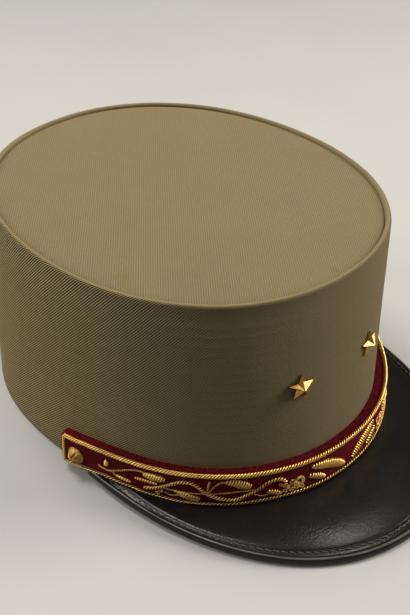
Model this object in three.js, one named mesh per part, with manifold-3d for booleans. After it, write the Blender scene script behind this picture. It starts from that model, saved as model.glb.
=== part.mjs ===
// Kepi: a stiff cloth cap with a flat recessed top, a padded velvet band with gold embroidery,
// two gilt stars, two side buttons and a leather peak.
// Millimetres. Z is up, the front faces -Y, X runs to the wearer's left, and the cap stands on Z = 0.
import * as THREE from "three";
import { mergeVertices } from "three/addons/utils/BufferGeometryUtils.js";
import Module from "manifold-3d";

const wasm = await Module();
wasm.setup();

// Crown: superelliptic plan at the foot and at the rim, wider behind than in front by the egg share
const CROWN_FOOT = { halfWidth: 84.2, halfLength: 101.4, power: 2.11, egg: 0.054, shift: 0 };
const CROWN_RIM = { halfWidth: 82.3, halfLength: 93.8, power: 2.12, egg: -0.018, shift: -1.1 };
const FRONT_HEIGHT = 100.6;
const BACK_HEIGHT = 106.2;
const WALL = 2.6;
const RIM_ARC_STEPS = 4;
const CROWN_STEPS = 88;
const TOP_RECESS = 2.4;
const TOP_CLOTH = 2;
const GAP = 0.3;

// Band: heights of its two edge cords at a length along the crown's foot from the front
const BAND_EDGES = [
  { along: 0, lower: 5.8, upper: 20.4 },
  { along: 35, lower: 5.9, upper: 20.4 },
  { along: 52, lower: 5.0, upper: 20.2 },
  { along: 72, lower: 4.9, upper: 20.2 },
  { along: 86, lower: 5.9, upper: 20.6 },
  { along: 97, lower: 7.3, upper: 21.1 },
  { along: 106, lower: 8.1, upper: 21.3 },
  { along: 115, lower: 7.0, upper: 20.9 },
  { along: 123, lower: 5.5, upper: 19.9 },
  { along: 129, lower: 4.7, upper: 19.2 },
];
const BAND_REACH = 129.6;
const BAND_TOP_DEPTH = 4.6;
const BAND_FOOT_DEPTH = 5.4;
const BAND_ROUND = 2.2;
const BAND_END_ROUND = 2;
const BAND_OVER_CORD = -0.3;
const BAND_UNDER_CORD = 0.2;
const BAND_STEPS = 64;
const CORNER_STEPS = 1;
const END_STEPS = 2;

// Edge cords
const UPPER_CORD = { radius: 1.2, out: 5.3, lift: 0.2, sides: 6, steps: 96 };
const LOWER_CORD = { radius: 0.8, out: 6.1, lift: 0, sides: 6, steps: 76 };
const END_CORD = { along: 129.4, out: 6.1, foot: 6.4, turn: 2.2 };

// Embroidery on the band's face: centre lines by length from the front and height
const SCROLL_STEM = { radius: 1.05, sides: 6, steps: 44 };
const SCROLL_PATH = [
  { along: 92.5, height: 11.6 },
  { along: 86.7, height: 9.7 },
  { along: 79.2, height: 12.7 },
  { along: 74.2, height: 15.4 },
  { along: 69.7, height: 16.2 },
  { along: 66.5, height: 14.4 },
  { along: 62.7, height: 10.6 },
  { along: 58.7, height: 8.5 },
  { along: 54.2, height: 7.5 },
  { along: 51.0, height: 7.8 },
  { along: 47.2, height: 9.6 },
  { along: 42.7, height: 12.2 },
  { along: 39.2, height: 14.7 },
  { along: 35.4, height: 15.9 },
  { along: 32.6, height: 15.2 },
  { along: 31.4, height: 13.6 },
];
const THIN_STEM = { radius: 0.55, sides: 6, steps: 12 };
const CROSSING_PATH = [
  { along: 82.0, height: 11.0 },
  { along: 72.0, height: 10.2 },
  { along: 62.7, height: 10.5 },
  { along: 54.0, height: 11.3 },
  { along: 44.0, height: 12.2 },
];
const STUB_PATH = [
  { along: 61.6, height: 17.4 },
  { along: 62.3, height: 14.2 },
  { along: 62.7, height: 10.6 },
];
const ARC_PATH = [
  { along: 62.7, height: 10.6 },
  { along: 59.6, height: 14.8 },
  { along: 56.4, height: 17.0 },
  { along: 53.0, height: 16.6 },
];
const TEMPLE_PATH = [
  { along: 109.5, height: 12.6 },
  { along: 105.0, height: 11.8 },
  { along: 100.0, height: 13.7 },
  { along: 95.0, height: 16.2 },
  { along: 90.0, height: 17.3 },
  { along: 85.5, height: 16.4 },
];

// Padded leaves: foot, tip, full width and sideways bow of each
const LEAF = { base: 0.25, pad: 0.75, shoulder: 0.55, sideSteps: 4 };
const TEMPLE_LEAF = { along: 88.6, height: 16.2, tipAlong: 79.8, tipHeight: 15.2, width: 3.4, bow: 0 };
const ARC_LEAF = { along: 55.0, height: 17.0, tipAlong: 45.4, tipHeight: 14.0, width: 3.4, bow: 0.4 };
const FOOT_LEAF = { along: 76.0, height: 10.6, tipAlong: 65.6, tipHeight: 6.9, width: 2.2, bow: -0.3 };
const LOW_LEAF = { along: 101.8, height: 10.7, tipAlong: 95.2, tipHeight: 9.2, width: 1.7, bow: 0 };
const BUD = { along: 106.6, height: 14.3, tipAlong: 105.2, tipHeight: 17.4, width: 2.2, bow: 0 };
const SMALL_LEAF = { along: 21.4, height: 12.4, tipAlong: 13.6, tipHeight: 8.0, width: 2.4, bow: 0.3 };
const LARGE_LEAF = { along: 19.6, height: 16.4, tipAlong: 2.6, tipHeight: 8.4, width: 4.2, bow: 1.2 };
const FLOWER = { along: 26.8, height: 10.8, halfLength: 3.9, halfHeight: 3.1, pad: 1.6, sides: 14, rings: 3 };

// Buttons: turned profile from the back, by radius and rise
const BUTTON = { along: 121.4, height: 11.6, sides: 20 };
const BUTTON_PROFILE = [
  { radius: 0, rise: 0 },
  { radius: 3.5, rise: 0 },
  { radius: 3.8, rise: 0.4 },
  { radius: 3.7, rise: 0.9 },
  { radius: 3.1, rise: 1.9 },
  { radius: 1.8, rise: 2.7 },
  { radius: 0, rise: 3 },
];

// Stars: hand-set, so the two turns from the front differ a little
const STAR = { height: 57.5, points: 5, reach: 6.1, waist: 2.6, edge: 0.7, apex: 3 };
const STAR_TURNS = { right: -0.261, left: 0.217 };

// Peak: outer edge in plan, heights of its upper face, and its section from the edge inwards
const PEAK_EDGE = { halfWidth: 85.2, rootY: -30.4, reach: 118, power: 2.13 };
const PEAK_ROOT_ALONG = 112;
const PEAK_HEIGHTS = { outerFront: 3, outerSide: 5.2, innerFront: 4.6, innerSide: 6, arch: 1.4 };
const PEAK_UNDER_BAND = 1.4;
const PEAK_STEPS = 56;
const PEAK_WIDTH = 46;
const EDGE_ZONE = 6;
const PEAK_SECTION = [
  { inward: PEAK_WIDTH, rise: 0 },
  { inward: 28, rise: 0 },
  { inward: 14, rise: 0 },
  { inward: EDGE_ZONE, rise: 0 },
  { inward: 4.4, rise: -0.25 },
  { inward: 3.4, rise: 0 },
  { inward: 1.8, rise: 0.25 },
  { inward: 0.5, rise: -0.4 },
  { inward: 0, rise: -1.4 },
  { inward: 0.3, rise: -2.4 },
  { inward: 1.4, rise: -2.8 },
  { inward: EDGE_ZONE, rise: -2.6 },
  { inward: PEAK_WIDTH, rise: -2.6 },
];

// The origin lies under the middle of the whole cap, so the crown's centre is moved back.
const FRAME_SHIFT = (PEAK_EDGE.reach - PEAK_EDGE.rootY - CROWN_FOOT.halfLength) / 2;

// Finishes
const FINISHES = {
  cloth: { color: 0x8d7d57, roughness: 0.95, metalness: 0 },
  velvet: { color: 0x4a0713, roughness: 0.9, metalness: 0 },
  gold_thread: { color: 0xb78a34, roughness: 0.45, metalness: 0.8 },
  gilt: { color: 0xc9923c, roughness: 0.28, metalness: 1 },
  leather: { color: 0x101113, roughness: 0.42, metalness: 0 },
};

const { lerp, smoothstep } = THREE.MathUtils;
const TURN_STEP = 0.004;
const RIGHT = -1;
const LEFT = 1;

// One power-curve term of a superellipse.
function powered(value, power) {
  return Math.sign(value) * Math.abs(value) ** (2 / power);
}

// Plan point on the crown's outside, at a turn from the front and a share of its height.
function crownPlan(turn, share) {
  const at = (key) => lerp(CROWN_FOOT[key], CROWN_RIM[key], share);
  const across = powered(Math.sin(turn), at("power"));
  const along = -powered(Math.cos(turn), at("power"));
  const width = at("halfWidth") * (1 - at("egg") * Math.cos(turn));
  return new THREE.Vector2(width * across, at("halfLength") * along + at("shift"));
}

// Run of the crown's plan for each radian of turn, and its outward direction.
function crownRun(turn, share) {
  const before = crownPlan(turn - TURN_STEP, share);
  return crownPlan(turn + TURN_STEP, share).sub(before).divideScalar(2 * TURN_STEP);
}

function crownNormal(turn, share) {
  const run = crownRun(turn, share);
  return new THREE.Vector2(run.y, -run.x).normalize();
}

// Height of the rim, which rises evenly from front to back.
function rimHeight(y) {
  return lerp(FRONT_HEIGHT, BACK_HEIGHT, (y + CROWN_FOOT.halfLength) / (2 * CROWN_FOOT.halfLength));
}

// Point at a distance outside the crown, by turn and share of the height.
function wallPoint(turn, share, out) {
  const plan = crownPlan(turn, share).addScaledVector(crownNormal(turn, share), out);
  return new THREE.Vector3(plan.x, plan.y, share * rimHeight(crownPlan(turn, 1).y));
}

// The same point by turn and height above the table.
function crownPoint(turn, height, out) {
  return wallPoint(turn, height / rimHeight(crownPlan(turn, 1).y), out);
}

// Turn from the front at a length along the crown, read from steps of equal turn.
const ARC_SHARE = 0.12;
const ARC_STEPS = 400;
const ARC_LENGTHS = [0];
for (let i = 1; i <= ARC_STEPS; i += 1) {
  const before = crownPlan(((i - 1) / ARC_STEPS) * Math.PI, ARC_SHARE);
  const here = crownPlan((i / ARC_STEPS) * Math.PI, ARC_SHARE);
  ARC_LENGTHS.push(ARC_LENGTHS[i - 1] + here.distanceTo(before));
}

function turnAt(along) {
  const length = Math.abs(along);
  const next = ARC_LENGTHS.findIndex((reached) => reached > length);
  const part = (length - ARC_LENGTHS[next - 1]) / (ARC_LENGTHS[next] - ARC_LENGTHS[next - 1]);
  return Math.sign(along) * ((next - 1 + part) / ARC_STEPS) * Math.PI;
}

// Height of a band edge at a length from the front, eased between the rows of the table.
function bandEdge(along, edge) {
  const length = Math.min(Math.abs(along), BAND_EDGES.at(-1).along);
  const next = Math.max(1, BAND_EDGES.findIndex((row) => row.along >= length));
  const from = BAND_EDGES[next - 1];
  const to = BAND_EDGES[next];
  return lerp(from[edge], to[edge], smoothstep(length, from.along, to.along));
}

// Distance of the band's face from the crown at a height, and a point that far out or more.
function bandFace(along, height) {
  const lower = bandEdge(along, "lower");
  const upper = bandEdge(along, "upper");
  return lerp(BAND_FOOT_DEPTH, BAND_TOP_DEPTH, (height - lower) / (upper - lower)) + GAP;
}

function bandPoint(along, height, off) {
  return crownPoint(turnAt(along), height, bandFace(along, height) + off);
}

// Moves every vertex of a geometry to where a function sends it.
function reshape(geometry, place) {
  const position = geometry.getAttribute("position");
  const vertex = new THREE.Vector3();
  for (let i = 0; i < position.count; i += 1) {
    const placed = place(vertex.fromBufferAttribute(position, i));
    position.setXYZ(i, placed.x, placed.y, placed.z);
  }
  return geometry;
}

// Solid of a geometry, turned to face out, for joining with others.
function solidOf(geometry) {
  const bare = new THREE.BufferGeometry();
  bare.setAttribute("position", geometry.getAttribute("position"));
  bare.setIndex(geometry.index);
  const merged = mergeVertices(bare, 1e-3);
  const triVerts = new Uint32Array(merged.index.array);
  const vertProperties = merged.getAttribute("position").array;
  const solid = new wasm.Manifold(new wasm.Mesh({ numProp: 3, vertProperties, triVerts }));
  if (solid.volume() > 0) {
    return solid;
  }
  const flipped = triVerts.map((_, i) => triVerts[i - (i % 3) + 2 - (i % 3)]);
  return new wasm.Manifold(new wasm.Mesh({ numProp: 3, vertProperties, triVerts: flipped }));
}

// Geometry of several geometries joined into one solid.
function joined(geometries) {
  const solid = geometries.map(solidOf).reduce((whole, piece) => whole.add(piece));
  const mesh = solid.getMesh();
  const geometry = new THREE.BufferGeometry();
  geometry.setAttribute("position", new THREE.BufferAttribute(new Float32Array(mesh.vertProperties), 3));
  geometry.setIndex(new THREE.BufferAttribute(new Uint32Array(mesh.triVerts), 1));
  geometry.computeVertexNormals();
  return geometry;
}

// Cloth wall: a closed profile of inset and height share, turned round and pulled to the crown's plan.
function crownWall() {
  const round = WALL / 2;
  const roundShare = round / FRONT_HEIGHT;
  const profile = [new THREE.Vector2(1, 0), new THREE.Vector2(1, 0.5)];
  for (let i = 0; i <= RIM_ARC_STEPS; i += 1) {
    const angle = (i / RIM_ARC_STEPS) * Math.PI;
    const inset = round * (1 - Math.cos(angle));
    profile.push(new THREE.Vector2(1 + inset, 1 - roundShare * (1 - Math.sin(angle))));
  }
  profile.push(new THREE.Vector2(1 + WALL, 0.5), new THREE.Vector2(1 + WALL, 0), new THREE.Vector2(1, 0));
  return reshape(new THREE.LatheGeometry(profile, CROWN_STEPS), ({ x, y, z }) => {
    const inset = Math.hypot(x, z) - 1;
    return wallPoint(Math.atan2(x, z), y, -inset);
  });
}

// Cloth top: a flat disc inside the wall, parallel to the rim.
function crownTop() {
  const profile = [
    new THREE.Vector2(0, TOP_RECESS + TOP_CLOTH),
    new THREE.Vector2(1, TOP_RECESS + TOP_CLOTH),
    new THREE.Vector2(1, TOP_RECESS),
    new THREE.Vector2(0, TOP_RECESS),
  ];
  return reshape(new THREE.LatheGeometry(profile, CROWN_STEPS), ({ x, y, z }) => {
    const rim = wallPoint(Math.atan2(x, z), 1, -WALL - GAP);
    const share = Math.hypot(x, z);
    const depth = lerp(CROWN_RIM.shift, rim.y, share);
    return new THREE.Vector3(rim.x * share, depth, rimHeight(depth) - y);
  });
}

// Outline of a rectangle with rounded corners.
function roundedOutline(width, height, radius) {
  const shape = new THREE.Shape();
  shape.absarc(width - radius, radius, radius, -Math.PI / 2, 0);
  shape.absarc(width - radius, height - radius, radius, 0, Math.PI / 2);
  shape.absarc(radius, height - radius, radius, Math.PI / 2, Math.PI);
  shape.absarc(radius, radius, radius, Math.PI, 1.5 * Math.PI);
  return shape;
}

// Padded band: a rounded section drawn out along the front and laid round the crown.
function velvetBand() {
  const first = BAND_EDGES[0];
  const tall = first.upper - first.lower + BAND_OVER_CORD + BAND_UNDER_CORD;
  const thick = BAND_FOOT_DEPTH;
  const geometry = new THREE.ExtrudeGeometry(roundedOutline(thick, tall, BAND_ROUND), {
    curveSegments: CORNER_STEPS,
    depth: 2 * (BAND_REACH - BAND_END_ROUND),
    steps: BAND_STEPS,
    bevelThickness: BAND_END_ROUND,
    bevelSize: BAND_END_ROUND,
    bevelOffset: -BAND_END_ROUND,
    bevelSegments: END_STEPS,
  });
  return reshape(geometry, ({ x, y, z }) => {
    const along = z - BAND_REACH + BAND_END_ROUND;
    const foot = bandEdge(along, "lower") - BAND_UNDER_CORD;
    const head = bandEdge(along, "upper") + BAND_OVER_CORD;
    const height = lerp(foot, head, y / tall);
    const depth = lerp(BAND_FOOT_DEPTH, BAND_TOP_DEPTH, y / tall);
    return crownPoint(turnAt(along), height, GAP + (x / thick) * depth);
  });
}

// Round cord or stem drawn along a curve through points; each half of its circle has half its sides.
function drawn(points, { radius, sides, steps }) {
  const shape = new THREE.Shape();
  shape.absarc(0, 0, radius, 0, 2 * Math.PI);
  const extrudePath = new THREE.CatmullRomCurve3(points, false, "centripetal");
  return new THREE.ExtrudeGeometry(shape, {
    curveSegments: sides / 2,
    steps,
    bevelEnabled: false,
    extrudePath,
  });
}

// Lengths along the band from one end to the other.
function bandLengths(reach, count) {
  return Array.from({ length: count + 1 }, (_, i) => lerp(-reach, reach, i / count));
}

function upperCord() {
  const { out, lift } = UPPER_CORD;
  const { along, foot, turn } = END_CORD;
  const head = bandEdge(along, "upper") + lift;
  const endPoint = (side, height) => crownPoint(turnAt(side * along), height, END_CORD.out);
  const run = bandLengths(along - turn, BAND_STEPS).map((length) =>
    crownPoint(turnAt(length), bandEdge(length, "upper") + lift, out),
  );
  const down = (side) => [
    endPoint(side, head - turn),
    endPoint(side, lerp(foot, head - turn, 0.5)),
    endPoint(side, foot),
  ];
  return drawn([...down(RIGHT).reverse(), ...run, ...down(LEFT)], UPPER_CORD);
}

function lowerCord() {
  const { out, lift } = LOWER_CORD;
  const run = bandLengths(END_CORD.along, BAND_STEPS).map((length) =>
    crownPoint(turnAt(length), bandEdge(length, "lower") + lift, out),
  );
  return drawn(run, LOWER_CORD);
}

// Embroidered stem on the band's face.
function stem(path, side, style) {
  const points = path.map(({ along, height }) => bandPoint(side * along, height, GAP + style.radius));
  return drawn(points, style);
}

// Padded leaf with a flat back, pointed at both ends, laid on the band's face.
function leaf({ along, height, tipAlong, tipHeight, width, bow }, side) {
  const foot = new THREE.Vector2(side * along, height);
  const run = new THREE.Vector2(side * tipAlong, tipHeight).sub(foot);
  const long = run.length();
  const edge = width / 2;
  const shape = new THREE.Shape();
  shape.moveTo(0, 0);
  shape.quadraticCurveTo(long / 2, 2 * (edge + bow), long, 0);
  shape.quadraticCurveTo(long / 2, 2 * (bow - edge), 0, 0);
  const inset = edge * LEAF.shoulder;
  const geometry = new THREE.ExtrudeGeometry(shape, {
    curveSegments: LEAF.sideSteps,
    depth: LEAF.base,
    bevelThickness: LEAF.pad,
    bevelSize: inset,
    bevelOffset: -inset,
    bevelSegments: 1,
  });
  const ahead = run.clone().normalize();
  const beside = new THREE.Vector2(-side * ahead.y, side * ahead.x).multiplyScalar(-1);
  return reshape(geometry, ({ x, y, z }) => {
    const spot = foot.clone().addScaledVector(ahead, x).addScaledVector(beside, y);
    return bandPoint(spot.x, spot.y, GAP + Math.max(0, z));
  });
}

// Rounded head of curled wire, a low pad on the band's face.
function flower(side) {
  const { along, height, halfLength, halfHeight, pad, sides, rings } = FLOWER;
  const profile = [new THREE.Vector2(0, 0)];
  for (let i = 0; i <= rings; i += 1) {
    const angle = (i / rings) * (Math.PI / 2);
    profile.push(new THREE.Vector2(Math.cos(angle), Math.sin(angle)));
  }
  return reshape(new THREE.LatheGeometry(profile, sides), ({ x, y, z }) =>
    bandPoint(side * along + x * halfLength, height + z * halfHeight, GAP + y * pad),
  );
}

// Domed button on the band's face.
function button(side) {
  const profile = BUTTON_PROFILE.map(({ radius, rise }) => new THREE.Vector2(radius, rise));
  return reshape(new THREE.LatheGeometry(profile, BUTTON.sides), ({ x, y, z }) =>
    bandPoint(side * BUTTON.along + x, BUTTON.height + z, GAP + y),
  );
}

// Faceted star on the crown, one point up.
function star(turn) {
  const { height, points, reach, waist, edge, apex } = STAR;
  const profile = [
    new THREE.Vector2(0, 0),
    new THREE.Vector2(1, 0),
    new THREE.Vector2(1, edge),
    new THREE.Vector2(0, apex),
  ];
  const stride = crownRun(turn, height / FRONT_HEIGHT).length();
  return reshape(new THREE.LatheGeometry(profile, 2 * points), ({ x, y, z }) => {
    const ray = Math.round((Math.atan2(x, z) / Math.PI) * points);
    const radius = ray % 2 === 0 ? reach : waist;
    return crownPoint(turn + (x * radius) / stride, height + z * radius, GAP + y);
  });
}

// Leather peak: its section drawn from temple to temple between the crown and the outer edge.
function peak() {
  const outline = PEAK_SECTION.map(({ inward, rise }) => new THREE.Vector2(inward, rise));
  const geometry = new THREE.ExtrudeGeometry(new THREE.Shape(outline), {
    depth: 1,
    steps: PEAK_STEPS,
    bevelEnabled: false,
  });
  const { outerFront, outerSide, innerFront, innerSide, arch } = PEAK_HEIGHTS;
  const { halfWidth, rootY, reach, power } = PEAK_EDGE;
  return reshape(geometry, ({ x, y, z }) => {
    const angle = lerp(0, Math.PI, z);
    const outer = new THREE.Vector2(
      halfWidth * -powered(Math.cos(angle), power),
      rootY - reach * powered(Math.sin(angle), power),
    );
    const along = lerp(-PEAK_ROOT_ALONG, PEAK_ROOT_ALONG, z);
    const turn = turnAt(along);
    const inner = crownPlan(turn, 0).addScaledVector(crownNormal(turn, 0), GAP);
    const width = outer.distanceTo(inner);
    const zone = Math.min(EDGE_ZONE, width / 2);
    const inward =
      x < EDGE_ZONE
        ? (x / EDGE_ZONE) * zone
        : lerp(zone, width, (x - EDGE_ZONE) / (PEAK_WIDTH - EDGE_ZONE));
    const across = inward / width;
    const front = Math.sin(angle);
    const outerTop = lerp(outerSide, outerFront, front);
    const bandFoot = bandEdge(along, "lower") - BAND_UNDER_CORD;
    const innerTop = Math.min(lerp(innerSide, innerFront, front), bandFoot - PEAK_UNDER_BAND);
    const bulge = arch * front * Math.sin(Math.PI * across) ** 2;
    const plan = outer.clone().lerp(inner, across);
    return new THREE.Vector3(plan.x, plan.y, lerp(outerTop, innerTop, across) + bulge + y);
  });
}

const cap = new THREE.Group();
cap.position.y = FRAME_SHIFT;

// Adds one named piece with its own material.
function piece(name, finish, geometry) {
  const { color, roughness, metalness } = FINISHES[finish];
  const material = new THREE.MeshStandardMaterial({ color, roughness, metalness });
  const solid = joined([geometry].flat());
  const mesh = new THREE.Mesh(solid, material);
  mesh.name = name;
  cap.add(mesh);
}

piece("crown_wall", "cloth", crownWall());
piece("crown_top", "cloth", crownTop());
piece("velvet_band", "velvet", velvetBand());
piece("band_cord_upper", "gold_thread", upperCord());
piece("band_cord_lower", "gold_thread", lowerCord());
piece("peak", "leather", peak());

const SIDES = [
  { word: "right", side: RIGHT },
  { word: "left", side: LEFT },
];
for (const { word, side } of SIDES) {
  const scroll = [
    stem(SCROLL_PATH, side, SCROLL_STEM),
    stem(CROSSING_PATH, side, THIN_STEM),
    stem(STUB_PATH, side, THIN_STEM),
    stem(ARC_PATH, side, THIN_STEM),
    leaf(ARC_LEAF, side),
    leaf(FOOT_LEAF, side),
  ];
  const temple = [stem(TEMPLE_PATH, side, THIN_STEM), leaf(TEMPLE_LEAF, side)];
  piece(`scroll_spray_${word}`, "gold_thread", scroll);
  piece(`temple_spray_${word}`, "gold_thread", temple);
  piece(`bud_${word}`, "gold_thread", leaf(BUD, side));
  piece(`low_leaf_${word}`, "gold_thread", leaf(LOW_LEAF, side));
  piece(`flower_${word}`, "gold_thread", flower(side));
  piece(`small_leaf_${word}`, "gold_thread", leaf(SMALL_LEAF, side));
  piece(`large_leaf_${word}`, "gold_thread", leaf(LARGE_LEAF, side));
  piece(`button_${word}`, "gilt", button(side));
  piece(`star_${word}`, "gilt", star(STAR_TURNS[word]));
}

const kepi = new THREE.Group();
kepi.add(cap);
export default kepi;
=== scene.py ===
"""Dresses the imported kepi: stiff twill crown, velvet band, gold wire embroidery and leather peak.

Every sub-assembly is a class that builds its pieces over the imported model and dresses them.
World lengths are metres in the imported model's frame, Z up and the front facing -Y.
Needlework is drawn flat, in millimetres, and then laid round the band.
"""

import logging
import math
import random
from bisect import bisect_right
from collections.abc import Callable, Iterable, Mapping, Sequence
from dataclasses import dataclass, field
from enum import Enum
from functools import cache

import bmesh
import bpy
from mathutils import Matrix, Vector, noise


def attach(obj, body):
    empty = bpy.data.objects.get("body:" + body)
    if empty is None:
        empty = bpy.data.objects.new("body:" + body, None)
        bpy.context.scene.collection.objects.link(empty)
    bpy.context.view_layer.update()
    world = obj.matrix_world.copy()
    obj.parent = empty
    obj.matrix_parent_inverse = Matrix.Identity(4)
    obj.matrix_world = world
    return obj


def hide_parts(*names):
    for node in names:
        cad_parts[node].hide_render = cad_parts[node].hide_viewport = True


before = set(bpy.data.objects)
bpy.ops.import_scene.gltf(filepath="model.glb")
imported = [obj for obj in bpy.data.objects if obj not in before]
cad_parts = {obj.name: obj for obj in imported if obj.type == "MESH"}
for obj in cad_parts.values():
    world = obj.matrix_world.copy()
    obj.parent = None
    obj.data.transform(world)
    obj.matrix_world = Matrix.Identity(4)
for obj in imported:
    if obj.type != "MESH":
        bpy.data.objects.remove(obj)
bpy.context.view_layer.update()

log = logging.getLogger("kepi")

MM = 0.001
TAU = 2 * math.pi
MERGE = 1e-7
Pair = tuple[float, float]
Triple = tuple[float, float, float]
Colour = tuple[float, float, float, float]


class Slot(Enum):
    """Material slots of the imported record."""

    CLOTH = "cloth"
    VELVET = "velvet"
    GOLD_THREAD = "gold_thread"
    GILT = "gilt"
    LEATHER = "leather"


class Side(Enum):
    """Sides of the cap as the wearer has them, by the sign of the length along the band."""

    RIGHT = -1
    LEFT = 1

    @property
    def word(self) -> str:
        """The side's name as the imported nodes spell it."""
        return self.name.lower()


class Lay(Enum):
    """Where a cloth finish takes its weave from."""

    WRAPPED = "along the wall and up it"
    PLAN = "flat, as seen from above"


class Edge(Enum):
    """The two edges of the band."""

    LOWER = "lower"
    UPPER = "upper"


def lerp(start: float, end: float, share: float) -> float:
    """Value at a share of the way from start to end."""
    return start + (end - start) * share


def eased(share: float) -> float:
    """Share clamped to 0..1 and eased at both ends."""
    share = min(1.0, max(0.0, share))
    return share * share * (3 - 2 * share)


def powered(value: float, power: float) -> float:
    """One power-curve term of a superellipse."""
    return math.copysign(abs(value) ** (2 / power), value)


def lift(height: float) -> Vector:
    """Step straight up, or straight off the face in flat needlework."""
    return Vector((0, 0, height))


def tint(code: str) -> Colour:
    """Linear colour of a six-digit hex code.

    Args:
        code: Red, green and blue as shown on a screen, such as "8d7d57".

    Returns:
        Linear red, green, blue and full alpha.
    """
    shown = [int(code[i:i + 2], 16) / 255 for i in (0, 2, 4)]
    linear = [c / 12.92 if c <= 0.04045 else ((c + 0.055) / 1.055) ** 2.4 for c in shown]
    return (*linear, 1.0)


# Shader maths

class Signal:
    """An output socket on which Python's operators add Math nodes."""

    def __init__(self, paint: "Paint", socket: bpy.types.NodeSocket) -> None:
        """Keeps the paint it belongs to and the socket."""
        self.paint = paint
        self.socket = socket

    def _math(self, operation: str, *terms: "Value") -> "Signal":
        """Adds one Math node with the given terms."""
        return self.paint.node("ShaderNodeMath", {"operation": operation}, dict(enumerate(terms)))

    def __add__(self, other: "Value") -> "Signal":
        """Sum."""
        return self._math("ADD", self, other)

    def __radd__(self, other: "Value") -> "Signal":
        """Sum with a number first."""
        return self._math("ADD", other, self)

    def __sub__(self, other: "Value") -> "Signal":
        """Difference."""
        return self._math("SUBTRACT", self, other)

    def __rsub__(self, other: "Value") -> "Signal":
        """Difference with a number first."""
        return self._math("SUBTRACT", other, self)

    def __mul__(self, other: "Value") -> "Signal":
        """Product."""
        return self._math("MULTIPLY", self, other)

    def __rmul__(self, other: "Value") -> "Signal":
        """Product with a number first."""
        return self._math("MULTIPLY", other, self)

    def wave(self, length: float) -> "Signal":
        """Sine of this length, from 0 to 1 and back once in each wave length."""
        return self._math("SINE", self * (TAU / length)) * 0.5 + 0.5

    def size(self) -> "Signal":
        """This value without its sign."""
        return self._math("ABSOLUTE", self)

    def clamped(self) -> "Signal":
        """This value held between 0 and 1."""
        return self.paint.node("ShaderNodeClamp", {}, {0: self})

    def step(self, start: float, end: float) -> "Signal":
        """Eased rise of this value.

        Args:
            start: Value at which the rise is 0.
            end: Value at which it is 1, which may lie either side of the start.

        Returns:
            The rise, from 0 to 1.
        """
        settings = {"interpolation_type": "SMOOTHSTEP"}
        low, high = min(start, end), max(start, end)
        rise = self.paint.node("ShaderNodeMapRange", settings, {0: self, 1: low, 2: high})
        return rise if start < end else 1 - rise


Value = Signal | float | Sequence[float]


class Paint:
    """A material under construction."""

    def __init__(self, name: str) -> None:
        """Starts a material with one Principled shader.

        Args:
            name: Name of the material.
        """
        self.material = bpy.data.materials.new(name)
        self.material.use_nodes = True
        self.tree = self.material.node_tree
        self.shader = next(n for n in self.tree.nodes if n.type == "BSDF_PRINCIPLED")

    def node(
        self,
        kind: str,
        settings: Mapping[str, object] | None = None,
        sockets: Mapping[str | int, Value] | None = None,
        output: str | int = 0,
    ) -> Signal:
        """Adds a node.

        Args:
            kind: Blender's name of the node type.
            settings: Properties of the node, set before its sockets.
            sockets: Values or links by input name or number.
            output: Output that the node is used for.

        Returns:
            The chosen output.
        """
        made = self.tree.nodes.new(kind)
        for name, value in (settings or {}).items():
            setattr(made, name, value)
        for key, value in (sockets or {}).items():
            self._feed(made.inputs[key], value)
        return Signal(self, made.outputs[output])

    def _feed(self, socket: bpy.types.NodeSocket, value: Value) -> None:
        """Links a signal to a socket, or sets a constant on it.

        Args:
            socket: The input.
            value: The signal or the constant.
        """
        if isinstance(value, Signal):
            self.tree.links.new(value.socket, socket)
        else:
            socket.default_value = value

    def object_place(self) -> Signal:
        """Object coordinates."""
        return self.node("ShaderNodeTexCoord", output="Object")

    def laid_place(self) -> Signal:
        """The piece's own lay, a UV map in metres."""
        return self.node("ShaderNodeUVMap", {"uv_map": "lay"})

    def crest(self) -> Signal:
        """How far a wire's surface lies on the outer side of its cord, from 0 to 1, the mask of its
        painted shade.
        """
        return self.node("ShaderNodeAttribute", {"attribute_name": "crest"}, output="Fac")

    def split(self, vector: Signal) -> tuple[Signal, Signal, Signal]:
        """The three parts of a vector.

        Args:
            vector: The vector.

        Returns:
            Its X, Y and Z.
        """
        parted = self.node("ShaderNodeSeparateXYZ", {}, {0: vector}).socket.node
        x, y, z = (Signal(self, part) for part in parted.outputs)
        return x, y, z

    def grain(self, place: Signal, size: float, detail: float = 2, rough: float = 0.5) -> Signal:
        """Noise from 0 to 1 with features of about a size.

        Args:
            place: Coordinates in metres.
            size: Size of its features in metres.
            detail: Octaves of finer noise.
            rough: Weight of the finer noise.

        Returns:
            The noise value.
        """
        sockets = {"Vector": place, "Scale": 1 / size, "Detail": detail, "Roughness": rough}
        return self.node("ShaderNodeTexNoise", {}, sockets, "Fac")

    def blend(self, share: Value, first: "Signal | Colour", second: "Signal | Colour") -> Signal:
        """Colour between two colours."""
        settings = {"data_type": "RGBA"}
        return self.node("ShaderNodeMix", settings, {0: share, 6: first, 7: second}, 2)

    def shade(self, colour: "Signal | Colour", by: Signal) -> Signal:
        """Colour made lighter or darker.

        Args:
            colour: The colour.
            by: Factor by which it is multiplied.

        Returns:
            The shaded colour.
        """
        grey = self.node("ShaderNodeCombineColor", {}, {0: by, 1: by, 2: by})
        settings = {"data_type": "RGBA", "blend_type": "MULTIPLY"}
        return self.node("ShaderNodeMix", settings, {0: 1.0, 6: colour, 7: grey}, 2)

    def bump(self, height: Signal, depth: float, strength: float = 1.0) -> Signal:
        """Normal of a relief whose height runs from 0 to 1 over a depth in metres."""
        sockets = {"Strength": strength, "Distance": depth, "Height": height}
        return self.node("ShaderNodeBump", {}, sockets)

    def finish(self, sockets: Mapping[str, Value]) -> bpy.types.Material:
        """Feeds the shader.

        Args:
            sockets: Values or links by the name of the shader's input.

        Returns:
            The finished material.
        """
        for name, value in sockets.items():
            self._feed(self.shader.inputs[name], value)
        return self.material


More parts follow.
